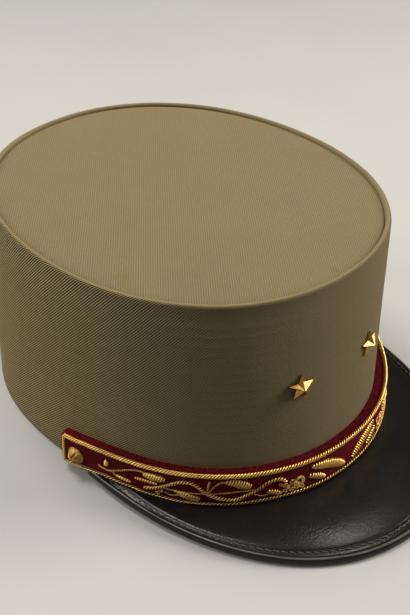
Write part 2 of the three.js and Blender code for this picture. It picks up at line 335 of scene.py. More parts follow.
# Finishes

@dataclass(frozen=True)
class Finish:
    """A named finish, with its sizes in metres and its colours as hex codes."""

    name: str

    @cache
    def material(self) -> bpy.types.Material:
        """The finish as a material, made once."""
        paint = Paint(self.name)
        return paint.finish(self.coat(paint))

    def coat(self, paint: Paint) -> dict[str, Value]:
        """Values and links of the shader's sockets, which each finish gives."""
        raise NotImplementedError


@dataclass(frozen=True)
class Spot:
    """A small old stain with a ragged edge, in metres on the plan."""

    x: float
    y: float
    radius: float
    ragged: float = 0.8
    outer: float = 1.6
    inner: float = 0.4
    strength: float = 0.6


@dataclass(frozen=True)
class TwillCloth(Finish):
    """Ribbed cotton twill."""

    lay: Lay
    pitch: float
    lean_deg: float
    ridge: str
    furrow: str
    relief: float
    stain: str = "55460f"
    sheen: str = "c9b684"
    yarn: float = 0.42 * MM
    spots: tuple[Spot, ...] = ()
    slubs: float = 0.3
    slub_size: float = 0.5 * MM
    slub_relief: float = 0.25
    broken: float = 0.25
    broken_patch: float = 3.5 * MM
    broken_range: Pair = (0.35, 0.65)
    mottling: float = 0.22
    mottle_patch: float = 22 * MM
    drift: float = 0.35
    drift_patch: float = 9 * MM
    trough: float = 0.42
    contrast: float = 1.1
    midtone: float = 0.28
    brightness: float = 0.97
    knot_tone: float = 0.06
    knot_relief: float = 0.2
    rib_relief: float = 0.7
    rough: float = 0.92
    rib_polish: float = 0.1
    pressed: str = "5f5337"
    turn_over: Pair = (100.7 * MM, 101.7 * MM)
    # The front is rubbed smoother, and darkened with painted shade as far as the rubbing goes.
    rubbed_front: Pair = (40 * MM, 125 * MM)
    rubbed: float = 0.1
    grime: float = 0.09

    def coat(self, paint: Paint) -> dict[str, Value]:
        """Weave of leaning ribs crossed by fine yarns, with faint mottling and any stains.

        A wrapped cloth is rubbed smoother in front and darkened there with painted shade, and
        pressed flat where it turns over the rim.

        Args:
            paint: The material under construction.

        Returns:
            Values and links of the shader's sockets.
        """
        wrapped = self.lay is Lay.WRAPPED
        place = paint.laid_place() if wrapped else paint.object_place()
        along, up, _ = paint.split(place)
        lean = math.radians(self.lean_deg)
        drift = paint.grain(place, self.drift_patch, detail=1) * (self.drift * self.pitch)
        across = up * math.cos(lean) - along * math.sin(lean) + drift
        run = along * math.cos(lean) + up * math.sin(lean)
        rib = across.wave(self.pitch)
        knots = run.wave(self.yarn)
        slub = paint.grain(place, self.slub_size, detail=2, rough=0.6)
        mottle = paint.grain(place, self.mottle_patch, detail=3, rough=0.55)
        breaks = paint.grain(place, self.broken_patch, detail=3, rough=0.6).step(*self.broken_range)
        raised = (rib - self.trough) * (1 - breaks * self.broken)
        if wrapped:
            turned = up.step(*self.turn_over)
            crisp_unshaded = along.size().step(*self.rubbed_front) * (1 - self.rubbed) + self.rubbed
            # Painted shade: the cloth is darker where the front is rubbed.
            raised = (raised * crisp_unshaded + crisp_unshaded * self.grime - self.grime) * (1 - turned)
        share = raised * self.contrast + slub * self.slubs + (self.midtone - self.slubs / 2)
        cloth = paint.blend(share, tint(self.furrow), tint(self.ridge))
        if wrapped:
            cloth = paint.blend(turned, cloth, tint(self.pressed))
        even = self.brightness - self.mottling / 2
        cloth = paint.shade(cloth, mottle * self.mottling + knots * self.knot_tone + even)
        for spot in self.spots:
            cloth = self.stained(paint, cloth, spot, place, slub)
        height = raised * (knots * self.knot_relief + self.rib_relief) + slub * self.slub_relief
        return {
            "Base Color": cloth,
            "Roughness": self.rough - rib * self.rib_polish,
            "Specular IOR Level": 0.25,
            "Sheen Weight": 0.12,
            "Sheen Roughness": 0.6,
            "Sheen Tint": tint(self.sheen),
            "Normal": paint.bump(height, self.relief),
        }

    def stained(
        self, paint: Paint, cloth: Signal, spot: Spot, place: Signal, slub: Signal
    ) -> Signal:
        """Stains the cloth in one spot.

        Args:
            paint: The material under construction.
            cloth: Colour of the clean cloth.
            spot: The stain.
            place: Coordinates in metres.
            slub: Noise that makes the stain's edge ragged.

        Returns:
            Colour of the stained cloth.
        """
        kind = "ShaderNodeVectorMath"
        centre = (spot.x, spot.y, 0.0)
        plan = paint.node(kind, {"operation": "MULTIPLY"}, {0: place, 1: (1, 1, 0)})
        away = paint.node(kind, {"operation": "DISTANCE"}, {0: plan, 1: centre}, "Value")
        ragged = away + slub * spot.radius * spot.ragged
        soaked = ragged.step(spot.radius * spot.outer, spot.radius * spot.inner) * spot.strength
        return paint.blend(soaked, cloth, tint(self.stain))


@dataclass(frozen=True)
class VelvetPile(Finish):
    """Short dense silk pile."""

    name: str = "velvet_pile"
    deep: str = "240103"
    bright: str = "4c0308"
    sheen: str = "b82826"
    glow: float = 0.22
    nap: float = 7 * MM
    nap_share: float = 0.6
    tuft: float = 0.35 * MM
    tuft_share: float = 0.5
    tuft_depth: float = 0.18 * MM

    def coat(self, paint: Paint) -> dict[str, Value]:
        """Crimson pile that is brushed light and dark and glows where it is seen edge on.

        Args:
            paint: The material under construction.

        Returns:
            Values and links of the shader's sockets.
        """
        place = paint.object_place()
        brushed = paint.grain(place, self.nap, detail=3, rough=0.6)
        tufts = paint.grain(place, self.tuft, detail=2, rough=0.7)
        share = brushed * self.nap_share + tufts * self.tuft_share
        return {
            "Base Color": paint.blend(share, tint(self.deep), tint(self.bright)),
            "Roughness": 0.95,
            "Specular IOR Level": 0.1,
            "Sheen Weight": self.glow,
            "Sheen Roughness": 0.35,
            "Sheen Tint": tint(self.sheen),
            "Normal": paint.bump(tufts, self.tuft_depth, strength=0.8),
        }


@dataclass(frozen=True)
class GoldThread(Finish):
    """Gilt wire wound on thread, a little tarnished."""

    name: str = "gold_thread"
    bright: str = "f8d074"
    tarnish: str = "b98632"
    # Painted shade, with some tarnish: the dark colour of the wires' inner sides, between the plies
    # and under the stitches.
    hollow: str = "2a1806"
    patch: float = 5 * MM
    patch_share: float = 1.2
    wind: float = 0.3 * MM
    wind_share: float = 0.6
    wind_depth: float = 0.06 * MM
    dulling: float = 0.35
    # Where the painted shade fades out across each wire.
    crest: Pair = (0.4, 0.9)
    rough: float = 0.44
    polish: float = 0.12

    def coat(self, paint: Paint) -> dict[str, Value]:
        """Gold wire with a fine winding, in its own colour on its crests and with painted shade in
        the hollows.

        Args:
            paint: The material under construction.

        Returns:
            Values and links of the shader's sockets.
        """
        place = paint.object_place()
        worn = paint.grain(place, self.patch, detail=3, rough=0.6)
        winding = paint.grain(place, self.wind, detail=1)
        share = (worn * self.patch_share + winding * self.wind_share - self.dulling).clamped()
        # Painted shade: the mask darkens each wire towards its inner side.
        crest = paint.crest().step(*self.crest)
        lit = paint.blend(share, tint(self.tarnish), tint(self.bright))
        return {
            "Base Color": paint.blend(crest, tint(self.hollow), lit),
            "Metallic": 0.9,
            "Roughness": self.rough - share * self.polish,
            "Normal": paint.bump(winding, self.wind_depth, strength=0.5),
        }


@dataclass(frozen=True)
class GiltMetal(Finish):
    """Stamped and gilded brass."""

    name: str = "gilt_metal"
    bright: str = "c39c55"
    rubbed: str = "936c34"
    rough: float = 0.25
    mark: float = 0.25 * MM
    mark_depth: float = 0.02 * MM
    patch: float = 2.5 * MM
    dulled: float = 0.12

    def coat(self, paint: Paint) -> dict[str, Value]:
        """Polished gilt with slightly rubbed patches and fine handling marks.

        Args:
            paint: The material under construction.

        Returns:
            Values and links of the shader's sockets.
        """
        place = paint.object_place()
        rubbed = paint.grain(place, self.patch, detail=3, rough=0.6)
        marks = paint.grain(place, self.mark, detail=2, rough=0.6)
        return {
            "Base Color": paint.blend(rubbed, tint(self.rubbed), tint(self.bright)),
            "Metallic": 1.0,
            "Roughness": self.rough + rubbed * self.dulled,
            "Normal": paint.bump(marks, self.mark_depth),
        }


@dataclass(frozen=True)
class PeakLeather(Finish):
    """Black polished leather, by the distance in from the peak's edge."""

    name: str = "peak_leather"
    black: str = "0c0c0b"
    worn: str = "1b1a16"
    # Lighter grey on the bead's crest: partly edge wear, partly a painted highlight.
    rubbed: str = "54534d"
    pebble: float = 0.85 * MM
    pebble_depth: float = 0.8
    crease: float = 3 * MM
    crease_depth: float = 0.3
    relief: float = 0.07 * MM
    patch: float = 26 * MM
    wear_gain: float = 1.6
    wear_floor: float = 0.6
    wear_base: float = 0.2
    rub_gain: float = 2.0
    rub_floor: float = 0.3
    bead: Pair = (2.6 * MM, 2.1 * MM)
    crest: Pair = (0.4 * MM, 2.2 * MM)
    dry: Pair = (14 * MM, 34 * MM)
    dryness: float = 0.14
    rough: float = 0.16
    patch_rough: float = 0.08
    crease_rough: float = 0.06

    def coat(self, paint: Paint) -> dict[str, Value]:
        """Fine pebbled grain under a polish, rubbed smooth on the bound edge.

        It is dulled in patches and by the band. A lighter stripe along the bead's crest is partly
        edge wear and partly a painted highlight.

        Args:
            paint: The material under construction.

        Returns:
            Values and links of the shader's sockets.
        """
        place = paint.object_place()
        sockets = {
            "Vector": place, "Scale": 1 / self.pebble, "Smoothness": 0.6, "Randomness": 1.0,
        }
        settings = {"feature": "SMOOTH_F1"}
        pebbles = paint.node("ShaderNodeTexVoronoi", settings, sockets, "Distance")
        creases = paint.grain(place, self.crease, detail=4, rough=0.65)
        dull = paint.grain(place, self.patch, detail=3, rough=0.6)
        wear = (dull * self.wear_gain - self.wear_floor).clamped()
        wear = wear * (creases * (1 - self.wear_base) + self.wear_base)
        _, inward, _ = paint.split(paint.laid_place())
        grained = 1 - inward.step(*self.bead)
        relief = creases * self.crease_depth - pebbles * self.pebble_depth
        height = relief * grained + self.pebble_depth
        low, high = self.crest
        middle = (low + high) / 2
        edge = inward.step(low, middle) * inward.step(high, middle)
        # Painted highlight, partly edge wear: a lighter stripe along the bead's crest, in patches.
        rub_and_highlight = edge * (dull * self.rub_gain - self.rub_floor).clamped()
        dyed = paint.blend(wear * grained, tint(self.black), tint(self.worn))
        dulled = (dull * self.patch_rough + creases * self.crease_rough) * grained
        return {
            "Base Color": paint.blend(rub_and_highlight, dyed, tint(self.rubbed)),
            "Roughness": self.rough + dulled + inward.step(*self.dry) * self.dryness,
            "Specular IOR Level": 0.27,
            "Normal": paint.bump(height, self.relief, strength=0.8),
        }


@dataclass(frozen=True)
class WaxedThread(Finish):
    """Waxed linen sewing thread."""

    name: str = "waxed_thread"
    dark: str = "1f1e1a"
    light: str = "4a4841"
    twist: float = 0.4 * MM
    twist_depth: float = 0.05 * MM
    rough: float = 0.3
    dry: float = 0.1

    def coat(self, paint: Paint) -> dict[str, Value]:
        """Twisted dark thread with a waxy shine.

        Args:
            paint: The material under construction.

        Returns:
            Values and links of the shader's sockets.
        """
        twist = paint.grain(paint.object_place(), self.twist, detail=2)
        return {
            "Base Color": paint.blend(twist, tint(self.dark), tint(self.light)),
            "Roughness": self.rough + twist * self.dry,
            "Specular IOR Level": 0.2,
            "Normal": paint.bump(twist, self.twist_depth),
        }


@dataclass(frozen=True)
class FloorPaint(Finish):
    """Pale matt studio floor."""

    name: str = "studio_floor"
    pale: str = "979693"
    dim: str = "92918e"
    cloud: float = 120 * MM
    rough: float = 0.85
    cloud_rough: float = 0.05

    def coat(self, paint: Paint) -> dict[str, Value]:
        """Even pale paint with the faintest cloudiness.

        Args:
            paint: The material under construction.

        Returns:
            Values and links of the shader's sockets.
        """
        cloud = paint.grain(paint.object_place(), self.cloud, detail=2)
        return {
            "Base Color": paint.blend(cloud, tint(self.dim), tint(self.pale)),
            "Roughness": self.rough + cloud * self.cloud_rough,
            "Specular IOR Level": 0.2,
        }


# Making pieces

def put_out(name: str, mesh: bpy.types.Mesh, finish: Finish) -> bpy.types.Object:
    """Makes a smooth-shaded object of a mesh, with its finish, at the origin.

    Args:
        name: Name of the piece.
        mesh: Its mesh, already in place.
        finish: Its finish.

    Returns:
        The linked object.
    """
    piece = bpy.data.objects.new(name, mesh)
    bpy.context.scene.collection.objects.link(piece)
    mesh.polygons.foreach_set("use_smooth", [True] * len(mesh.polygons))
    mesh.materials.clear()
    mesh.materials.append(finish.material())
    return piece


def settle(piece: bpy.types.Object, slot: Slot, *nodes: str) -> bpy.types.Object:
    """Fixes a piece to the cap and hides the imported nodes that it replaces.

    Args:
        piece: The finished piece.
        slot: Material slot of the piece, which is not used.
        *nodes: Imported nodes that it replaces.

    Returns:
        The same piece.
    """
    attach(piece, "root")
    if nodes:
        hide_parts(*nodes)
    log.info("%s: %d faces", piece.name, len(piece.data.polygons))
    return piece


class Bench:
    """A mesh on the bench, shaped with bmesh operators."""

    def __init__(self, name: str) -> None:
        """Starts an empty mesh with a lay for its weave.

        Args:
            name: Name of the piece.
        """
        self.name = name
        self.work = bmesh.new()
        self.lay = self.work.loops.layers.uv.new("lay")

    def outline(self, points: Iterable[Pair], closed: bool = True) -> list[bmesh.types.BMEdge]:
        """Outline in the X-Z plane.

        Args:
            points: X and Z of its corners.
            closed: Whether it runs back to its first corner.

        Returns:
            Its edges.
        """
        corners = [self.work.verts.new((across, 0, rise)) for across, rise in points]
        ahead = corners[1:] + corners[:1] if closed else corners[1:]
        return [self.work.edges.new(ends) for ends in zip(corners, ahead)]

    def plate(
        self,
        left: float,
        right: float,
        tall: float,
        rounds: Sequence[float],
        segments: int,
        rows: int,
    ) -> list[bmesh.types.BMEdge]:
        """Outline of a rectangle standing on Z = 0 in the X-Z plane, with rounded corners.

        Args:
            left: Lower X.
            right: Higher X.
            tall: Height.
            rounds: Corner radii at the lower left, lower right, upper right and upper left.
            segments: Steps in each rounded corner.
            rows: Cuts in each long straight side.

        Returns:
            The outline's edges.
        """
        self.outline([(left, 0), (right, 0), (right, tall), (left, tall)])
        corners = list(self.work.verts)
        self.work.faces.new(corners)
        for corner, radius in zip(corners, rounds):
            bmesh.ops.bevel(self.work, geom=[corner], offset=radius, segments=segments,
                            profile=0.5, affect="VERTICES", material=-1)
        longest = sorted(self.work.edges, key=lambda edge: -edge.calc_length())[:4]
        sides = [edge for edge in longest if edge.calc_length() > tall / 4]
        bmesh.ops.subdivide_edges(self.work, edges=sides, cuts=rows)
        bmesh.ops.delete(self.work, geom=list(self.work.faces), context="FACES_ONLY")
        return list(self.work.edges)

    def turn(self, edges: Sequence[bmesh.types.BMEdge], steps: int) -> None:
        """Turns an outline right round the Z axis.

        Args:
            edges: The outline.
            steps: Steps in the turn.
        """
        verts = {vert for edge in edges for vert in edge.verts}
        bmesh.ops.spin(self.work, geom=[*verts, *edges], cent=(0, 0, 0), axis=(0, 0, 1),
                       dvec=(0, 0, 0), angle=TAU, steps=steps, use_merge=True)
        bmesh.ops.remove_doubles(self.work, verts=list(self.work.verts), dist=MERGE)

    def draw(self, edges: Sequence[bmesh.types.BMEdge], stations: Sequence[float]) -> None:
        """Draws an outline out along Y and closes both ends.

        Args:
            edges: The outline.
            stations: Y of each section.
        """
        first = list(edges)
        for vert in self.work.verts:
            vert.co.y = stations[0]
        for before, here in zip(stations, stations[1:]):
            made = bmesh.ops.extrude_edge_only(self.work, edges=list(edges))["geom"]
            verts = {item for item in made if isinstance(item, bmesh.types.BMVert)}
            bmesh.ops.translate(self.work, verts=list(verts), vec=(0, here - before, 0))
            drawn = (item for item in made if isinstance(item, bmesh.types.BMEdge))
            edges = [edge for edge in drawn if verts.issuperset(edge.verts)]
        for end in (first, edges):
            bmesh.ops.edgeloop_fill(self.work, edges=end)

    def shape(
        self,
        place: Callable[[Vector], Vector],
        lay: Callable[[Vector, Vector], Pair] | None = None,
    ) -> None:
        """Moves every vertex to its place.

        Args:
            place: Gives the place of a bench point.
            lay: Gives the weave's coordinates of a bench point, by the point and its face's middle.
        """
        for face in self.work.faces if lay else ():
            middle = face.calc_center_median()
            for loop in face.loops:
                loop[self.lay].uv = lay(loop.vert.co, middle)
        for vert in self.work.verts:
            vert.co = place(vert.co)

    def finish(self, finish: Finish, sharp_deg: float | None = None) -> bpy.types.Object:
        """Closes the mesh, turns it to face out and dresses it.

        Args:
            finish: The piece's finish.
            sharp_deg: Angle over which an edge stays sharp, if any does.

        Returns:
            The piece.
        """
        bmesh.ops.remove_doubles(self.work, verts=list(self.work.verts), dist=MERGE)
        bmesh.ops.recalc_face_normals(self.work, faces=list(self.work.faces))
        mesh = bpy.data.meshes.new(self.name)
        self.work.to_mesh(mesh)
        self.work.free()
        piece = put_out(self.name, mesh, finish)
        if sharp_deg is not None:
            mesh.set_sharp_from_angle(angle=math.radians(sharp_deg))
        return piece


@dataclass(frozen=True)
class Leaf:
    """A satin-stitched leaf by its foot, tip, full width and sideways bow, in millimetres."""

    along: float
    height: float
    tip_along: float
    tip_height: float
    width: float
    bow: float = 0.0
    pad: float = 0.95


@dataclass(frozen=True)
class Stem:
    """A twisted wire stem through flat points, in millimetres."""

    points: tuple[Pair, ...]
    radius: float
    plies: int = 2
    pitch: float = 1.9


@dataclass(frozen=True)
class Curl:
    """A curl of coiled wire round a flat point, in millimetres and turns."""

    along: float
    height: float
    radius: float
    turns: float
    start: float = 0.0
    lift: float = 0.5


def smooth_route(points: Sequence[Pair], off: float, step: float, fine: int = 24) -> list[Vector]:
    """Even points on a smooth curve through flat points.

    Args:
        points: Length along and height of each point.
        off: Distance off the face.
        step: Wanted distance between the points.
        fine: Straight runs that stand for the curve between two points.

    Returns:
        The flat points of the curve.
    """
    knots = [Vector((*point, off)) for point in points]
    knots = [2 * knots[0] - knots[1], *knots, 2 * knots[-1] - knots[-2]]
    dense = []
    for a, b, c, d in zip(knots, knots[1:], knots[2:], knots[3:]):
        bend, twist = 2 * a - 5 * b + 4 * c - d, 3 * b - a - 3 * c + d
        for i in range(fine):
            t = i / fine
            dense.append(0.5 * (2 * b + (c - a) * t + bend * t**2 + twist * t**3))
    dense.append(knots[-2])
    return even_route(dense, step)


def even_route(points: Sequence[Vector], step: float) -> list[Vector]:
    """Points at even distances along a line of straight runs.

    Args:
        points: Corners of the line.
        step: Wanted distance between the points.

    Returns:
        The even points, from the line's first corner to its last.
    """
    reached = [0.0]
    for before, here in zip(points, points[1:]):
        reached.append(reached[-1] + (here - before).length)
    count = max(2, round(reached[-1] / step))
    route = []
    for i in range(count + 1):
        goal = reached[-1] * i / count
        k = min(len(points) - 2, max(0, bisect_right(reached, goal) - 1))
        run = reached[k + 1] - reached[k]
        route.append(points[k].lerp(points[k + 1], (goal - reached[k]) / run if run else 0.0))
    return route


def wound(route: Sequence[Vector], i: int, swing: float, phase: float, flat: float = 1.0) -> Vector:
    """Point of a wire wound round a flat route.

    Args:
        route: Even flat points of the middle.
        i: Number of the point on the route.
        swing: Distance from the middle.
        phase: Angle round the middle, from straight off the face.
        flat: Share of the distance off the face that is kept.

    Returns:
        The flat point.
    """
    ahead = route[min(i + 1, len(route) - 1)] - route[max(i - 1, 0)]
    beside = Vector((-ahead.y, ahead.x, 0)).normalized()
    return route[i] + beside * swing * math.sin(phase) + lift(swing * flat * math.cos(phase))


class Needle:
    """Draws wires flat and lays them in place as one mesh."""

    SIX_SIDED = 1
    PLY_SLACK = 0.78
    CORE_DEPTH = 2
    STEM_SEAT = 0.8
    STEM_FLAT = 0.85
    STEM_STEPS = 12
    LEAF_FULLNESS = 0.52
    PAD_FULLNESS = 0.6
    STITCH_STRAY = 0.07
    STITCH_STEPS = 4
    OUTLINE_STEPS = 24
    CURL_STEPS = 20
    CURL_CLOSING = 0.62
    CURL_OPEN_TURNS = 0.6
    CURL_SWAY = 0.25
    COIL_STEPS = 8

    def __init__(self, name: str, lay: Callable[[Vector], Vector]) -> None:
        """Starts with no wires.

        Args:
            name: Name of the piece.
            lay: Gives the world place of a point as it is drawn.
        """
        self.name = name
        self.lay = lay
        self.chance = random.Random(name)
        self.curve = bpy.data.curves.new(name, "CURVE")
        self.curve.dimensions = "3D"
        self.curve.bevel_depth = MM
        self.curve.bevel_resolution = self.SIX_SIDED
        self.cores: list[Vector] = []

    def wire(
        self, points: Sequence[Vector], radius: float, core: Sequence[Vector] | None = None
    ) -> None:
        """Adds one wire.

        Args:
            points: Points as the lay takes them.
            radius: Radius of the wire in millimetres.
            core: Points that the wire's outer side faces away from, if not straight below it.
        """
        laid = [self.lay(point) for point in points]
        core = core or [point - lift(self.CORE_DEPTH) for point in points]
        self.cores += [self.lay(point) for point in core]
        spline = self.curve.splines.new("POLY")
        spline.points.add(len(laid) - 1)
        spline.points.foreach_set("co", [part for point in laid for part in (*point, 1.0)])
        spline.points.foreach_set("radius", [radius] * len(laid))

    def cord(
        self, route: Sequence[Vector], radius: float, plies: int, pitch: float, flat: float = 1.0
    ) -> None:
        """Adds a cord of plies twisted round a flat route.

        Args:
            route: Even flat points of its middle.
            radius: Outer radius.
            plies: Number of twisted plies.
            pitch: Length of one turn of a ply.
            flat: Share of its thickness off the face that it keeps.
        """
        ply = radius / (1 + 1 / math.sin(math.pi / plies)) * self.PLY_SLACK
        swing = radius - ply
        step = (route[1] - route[0]).length
        for k in range(plies):
            phases = [TAU * (i * step / pitch + k / plies) for i in range(len(route))]
            points = [wound(route, i, swing, phase, flat) for i, phase in enumerate(phases)]
            self.wire(points, ply, route)

    def stem(self, stem: Stem, side: Side) -> None:
        """Adds a stem.

        Args:
            stem: The stem.
            side: Side of the band.
        """
        points = [(side.value * along, height) for along, height in stem.points]
        route = smooth_route(points, stem.radius * self.STEM_SEAT, stem.pitch / self.STEM_STEPS)
        self.cord(route, stem.radius, stem.plies, stem.pitch, self.STEM_FLAT)

    def satin(
        self,
        leaf: Leaf,
        side: Side,
        gap: float = 1.08,
        thread: float = 0.5,
        slant: float = 0.3,
        outline: float = 0.2,
    ) -> None:
        """Covers a leaf with stitches laid side by side over padding, and outlines it.

        Args:
            leaf: The leaf.
            side: Side of the band.
            gap: Distance between stitches.
            thread: Radius of the thread.
            slant: Lean of the stitches against the leaf's width.
            outline: Radius of the wire round the leaf.
        """
        foot = Vector((side.value * leaf.along, leaf.height, 0))
        run = Vector((side.value * leaf.tip_along, leaf.tip_height, 0)) - foot
        ahead = run.normalized()
        beside = Vector((ahead.y, -ahead.x, 0)) * side.value

        def spot(t: float, u: float, stretch: float = 1.0) -> Vector:
            """Flat point of the padded leaf.

            Args:
                t: Share of the way from foot to tip.
                u: Place across the leaf, from -1 to 1.
                stretch: Factor of its width.

            Returns:
                The point.
            """
            full = max(0.0, 4 * t * (1 - t)) ** self.LEAF_FULLNESS
            half = leaf.width / 2 * full * stretch
            rise = leaf.pad * full ** self.PAD_FULLNESS * math.sqrt(1 - u * u)
            bow = 4 * t * (1 - t) * leaf.bow
            along = ahead * (t * run.length + slant * u * half)
            return foot + along + beside * (bow + u * half) + lift(rise)

        count = round(run.length / gap)
        steps = self.STITCH_STEPS
        for i in range(count):
            stretch = 1 + self.chance.uniform(-self.STITCH_STRAY, self.STITCH_STRAY)
            middle = (i + 0.5) / count
            stitch = [spot(middle, j / steps, stretch) for j in range(-steps, steps + 1)]
            self.wire(stitch, thread)
        steps = self.OUTLINE_STEPS
        for edge in (-1, 1):
            self.wire([spot(i / steps, edge) for i in range(steps + 1)], outline)

    def curl(
        self, curl: Curl, side: Side, coil: float = 0.21, wire: float = 0.13, pitch: float = 0.5
    ) -> None:
        """Adds a curl of wire wound in a fine coil.

        Args:
            curl: The curl.
            side: Side of the band.
            coil: Radius of the coil's middle.
            wire: Radius of its wire.
            pitch: Length of one turn of the coil.
        """
        middle = Vector((side.value * curl.along, curl.height, 0))
        steps = self.CURL_STEPS * max(1, math.ceil(curl.turns))
        closing = min(1, curl.turns - self.CURL_OPEN_TURNS)
        spiral = []
        for i in range(steps + 1):
            share = i / steps
            angle = TAU * (curl.start + curl.turns * share)
            reach = curl.radius * (1 - self.CURL_CLOSING * share * closing)
            rise = curl.lift + self.CURL_SWAY * math.sin(2 * angle)
            across = side.value * reach * math.cos(angle)
            spiral.append(middle + Vector((across, reach * math.sin(angle), rise)))
        route = even_route(spiral, pitch / self.COIL_STEPS)
        phases = [TAU * i / self.COIL_STEPS for i in range(len(route))]
        self.wire([wound(route, i, coil, phase) for i, phase in enumerate(phases)], wire, route)

    def finish(self, finish: Finish) -> bpy.types.Object:
        """Turns the drawn wires into one mesh, closes their ends and dresses it.

        Args:
            finish: The piece's finish.

        Returns:
            The piece.
        """
        drawn = bpy.data.objects.new(self.name, self.curve)
        bpy.context.scene.collection.objects.link(drawn)
        ready = drawn.evaluated_get(bpy.context.evaluated_depsgraph_get())
        mesh = bpy.data.meshes.new_from_object(ready)
        bpy.data.objects.remove(drawn)
        bpy.data.curves.remove(self.curve)
        self.mark_crests(mesh)
        work = bmesh.new()
        work.from_mesh(mesh)
        bmesh.ops.holes_fill(work, edges=[edge for edge in work.edges if edge.is_boundary])
        work.to_mesh(mesh)
        work.free()
        return put_out(self.name, mesh, finish)

    def mark_crests(self, mesh: bpy.types.Mesh) -> None:
        """Notes on every vertex how far it lies on the outer side of its cord, for the painted
        shade between the plies.

        Args:
            mesh: The wires, whose rings of vertices follow the cores.
        """
        sides = len(mesh.vertices) // len(self.cores)
        away = [(vert.co - self.cores[vert.index // sides]).length for vert in mesh.vertices]
        shares = []
        for first in range(0, len(away), sides):
            ring = away[first:first + sides]
            low, high = min(ring), max(ring)
            shares += [(reach - low) / (high - low) for reach in ring]
        mesh.attributes.new("crest", "FLOAT", "POINT").data.foreach_set("value", shares)


# The form that the pieces are laid on

@dataclass(frozen=True)
class Plan:
    """Superelliptic plan of the crown at one level, wider behind than in front by the egg share."""

    half_width: float
    half_length: float
    power: float
    egg: float
    shift: float


@dataclass
class CrownForm:
    """Stiff form of the crown, which gives the place of every point laid on it."""

    foot: Plan = Plan(84.2 * MM, 101.4 * MM, 2.11, 0.054, 0.0)
    rim: Plan = Plan(82.3 * MM, 93.8 * MM, 2.12, -0.018, -1.1 * MM)
    front_height: float = 100.6 * MM
    back_height: float = 106.2 * MM
    middle_y: float = 23.5 * MM
    arc_share: float = 0.12
    arc_steps: int = 400
    turn_step: float = 0.004
    whole_arc: float = 0.9999
    lengths: list[float] = field(init=False)

    def __post_init__(self) -> None:
        """Measures the length along the crown at even turns from the front."""
        turns = [math.pi * i / self.arc_steps for i in range(self.arc_steps + 1)]
        spots = [self.plan(turn, self.arc_share) for turn in turns]
        self.lengths = [0.0]
        for before, here in zip(spots, spots[1:]):
            self.lengths.append(self.lengths[-1] + (here - before).length)

    def plan(self, turn: float, share: float) -> Vector:
        """Plan point of the outside, from the crown's middle.

        Args:
            turn: Turn from the front, towards the wearer's left.
            share: Share of the height.

        Returns:
            X and Y.
        """
        foot, rim = self.foot, self.rim
        power = lerp(foot.power, rim.power, share)
        egg = 1 - lerp(foot.egg, rim.egg, share) * math.cos(turn)
        width = lerp(foot.half_width, rim.half_width, share) * egg
        length = lerp(foot.half_length, rim.half_length, share)
        shift = lerp(foot.shift, rim.shift, share)
        x = width * powered(math.sin(turn), power)
        return Vector((x, shift - length * powered(math.cos(turn), power)))

    def run(self, turn: float, share: float) -> Vector:
        """Run of the plan for each radian of turn."""
        ahead = self.plan(turn + self.turn_step, share)
        return (ahead - self.plan(turn - self.turn_step, share)) / (2 * self.turn_step)

    def outward(self, turn: float, share: float) -> Vector:
        """Outward direction in plan."""
        run = self.run(turn, share)
        return Vector((run.y, -run.x)).normalized()

    def rim_height(self, y: float) -> float:
        """Height of the rim, which rises evenly from front to back."""
        reach = self.foot.half_length
        return lerp(self.front_height, self.back_height, (y + reach) / (2 * reach))

    def wall_point(self, turn: float, share: float, out: float) -> Vector:
        """Point on or outside the crown.

        Args:
            turn: Turn from the front.
            share: Share of the height.
            out: Distance outside the crown.

        Returns:
            The world place.
        """
        spot = self.plan(turn, share) + self.outward(turn, share) * out
        height = share * self.rim_height(self.plan(turn, 1).y)
        return Vector((spot.x, spot.y + self.middle_y, height))

    def point(self, turn: float, height: float, out: float) -> Vector:
        """The same point by turn and height."""
        return self.wall_point(turn, height / self.rim_height(self.plan(turn, 1).y), out)

    def turn_at(self, along: float) -> float:
        """Turn from the front.

        Args:
            along: Length along the crown from the front.

        Returns:
            The turn there, with the length's sign.
        """
        length = min(abs(along), self.lengths[-1] * self.whole_arc)
        k = bisect_right(self.lengths, length) - 1
        part = (length - self.lengths[k]) / (self.lengths[k + 1] - self.lengths[k])
        return math.copysign((k + part) / self.arc_steps * math.pi, along)

    def along_at(self, turn: float) -> float:
        """Length along the crown.

        Args:
            turn: Turn from the front, also past the back.

        Returns:
            The length there, with the turn's sign.
        """
        whole = abs(turn) / math.pi * self.arc_steps
        k = min(int(whole), self.arc_steps - 1)
        step = self.lengths[k + 1] - self.lengths[k]
        return math.copysign(self.lengths[k] + (whole - k) * step, turn)


@dataclass(frozen=True)
class EdgeRow:
    """Heights of the band's edges at a length from the front, in millimetres."""

    along: float
    lower: float
    upper: float


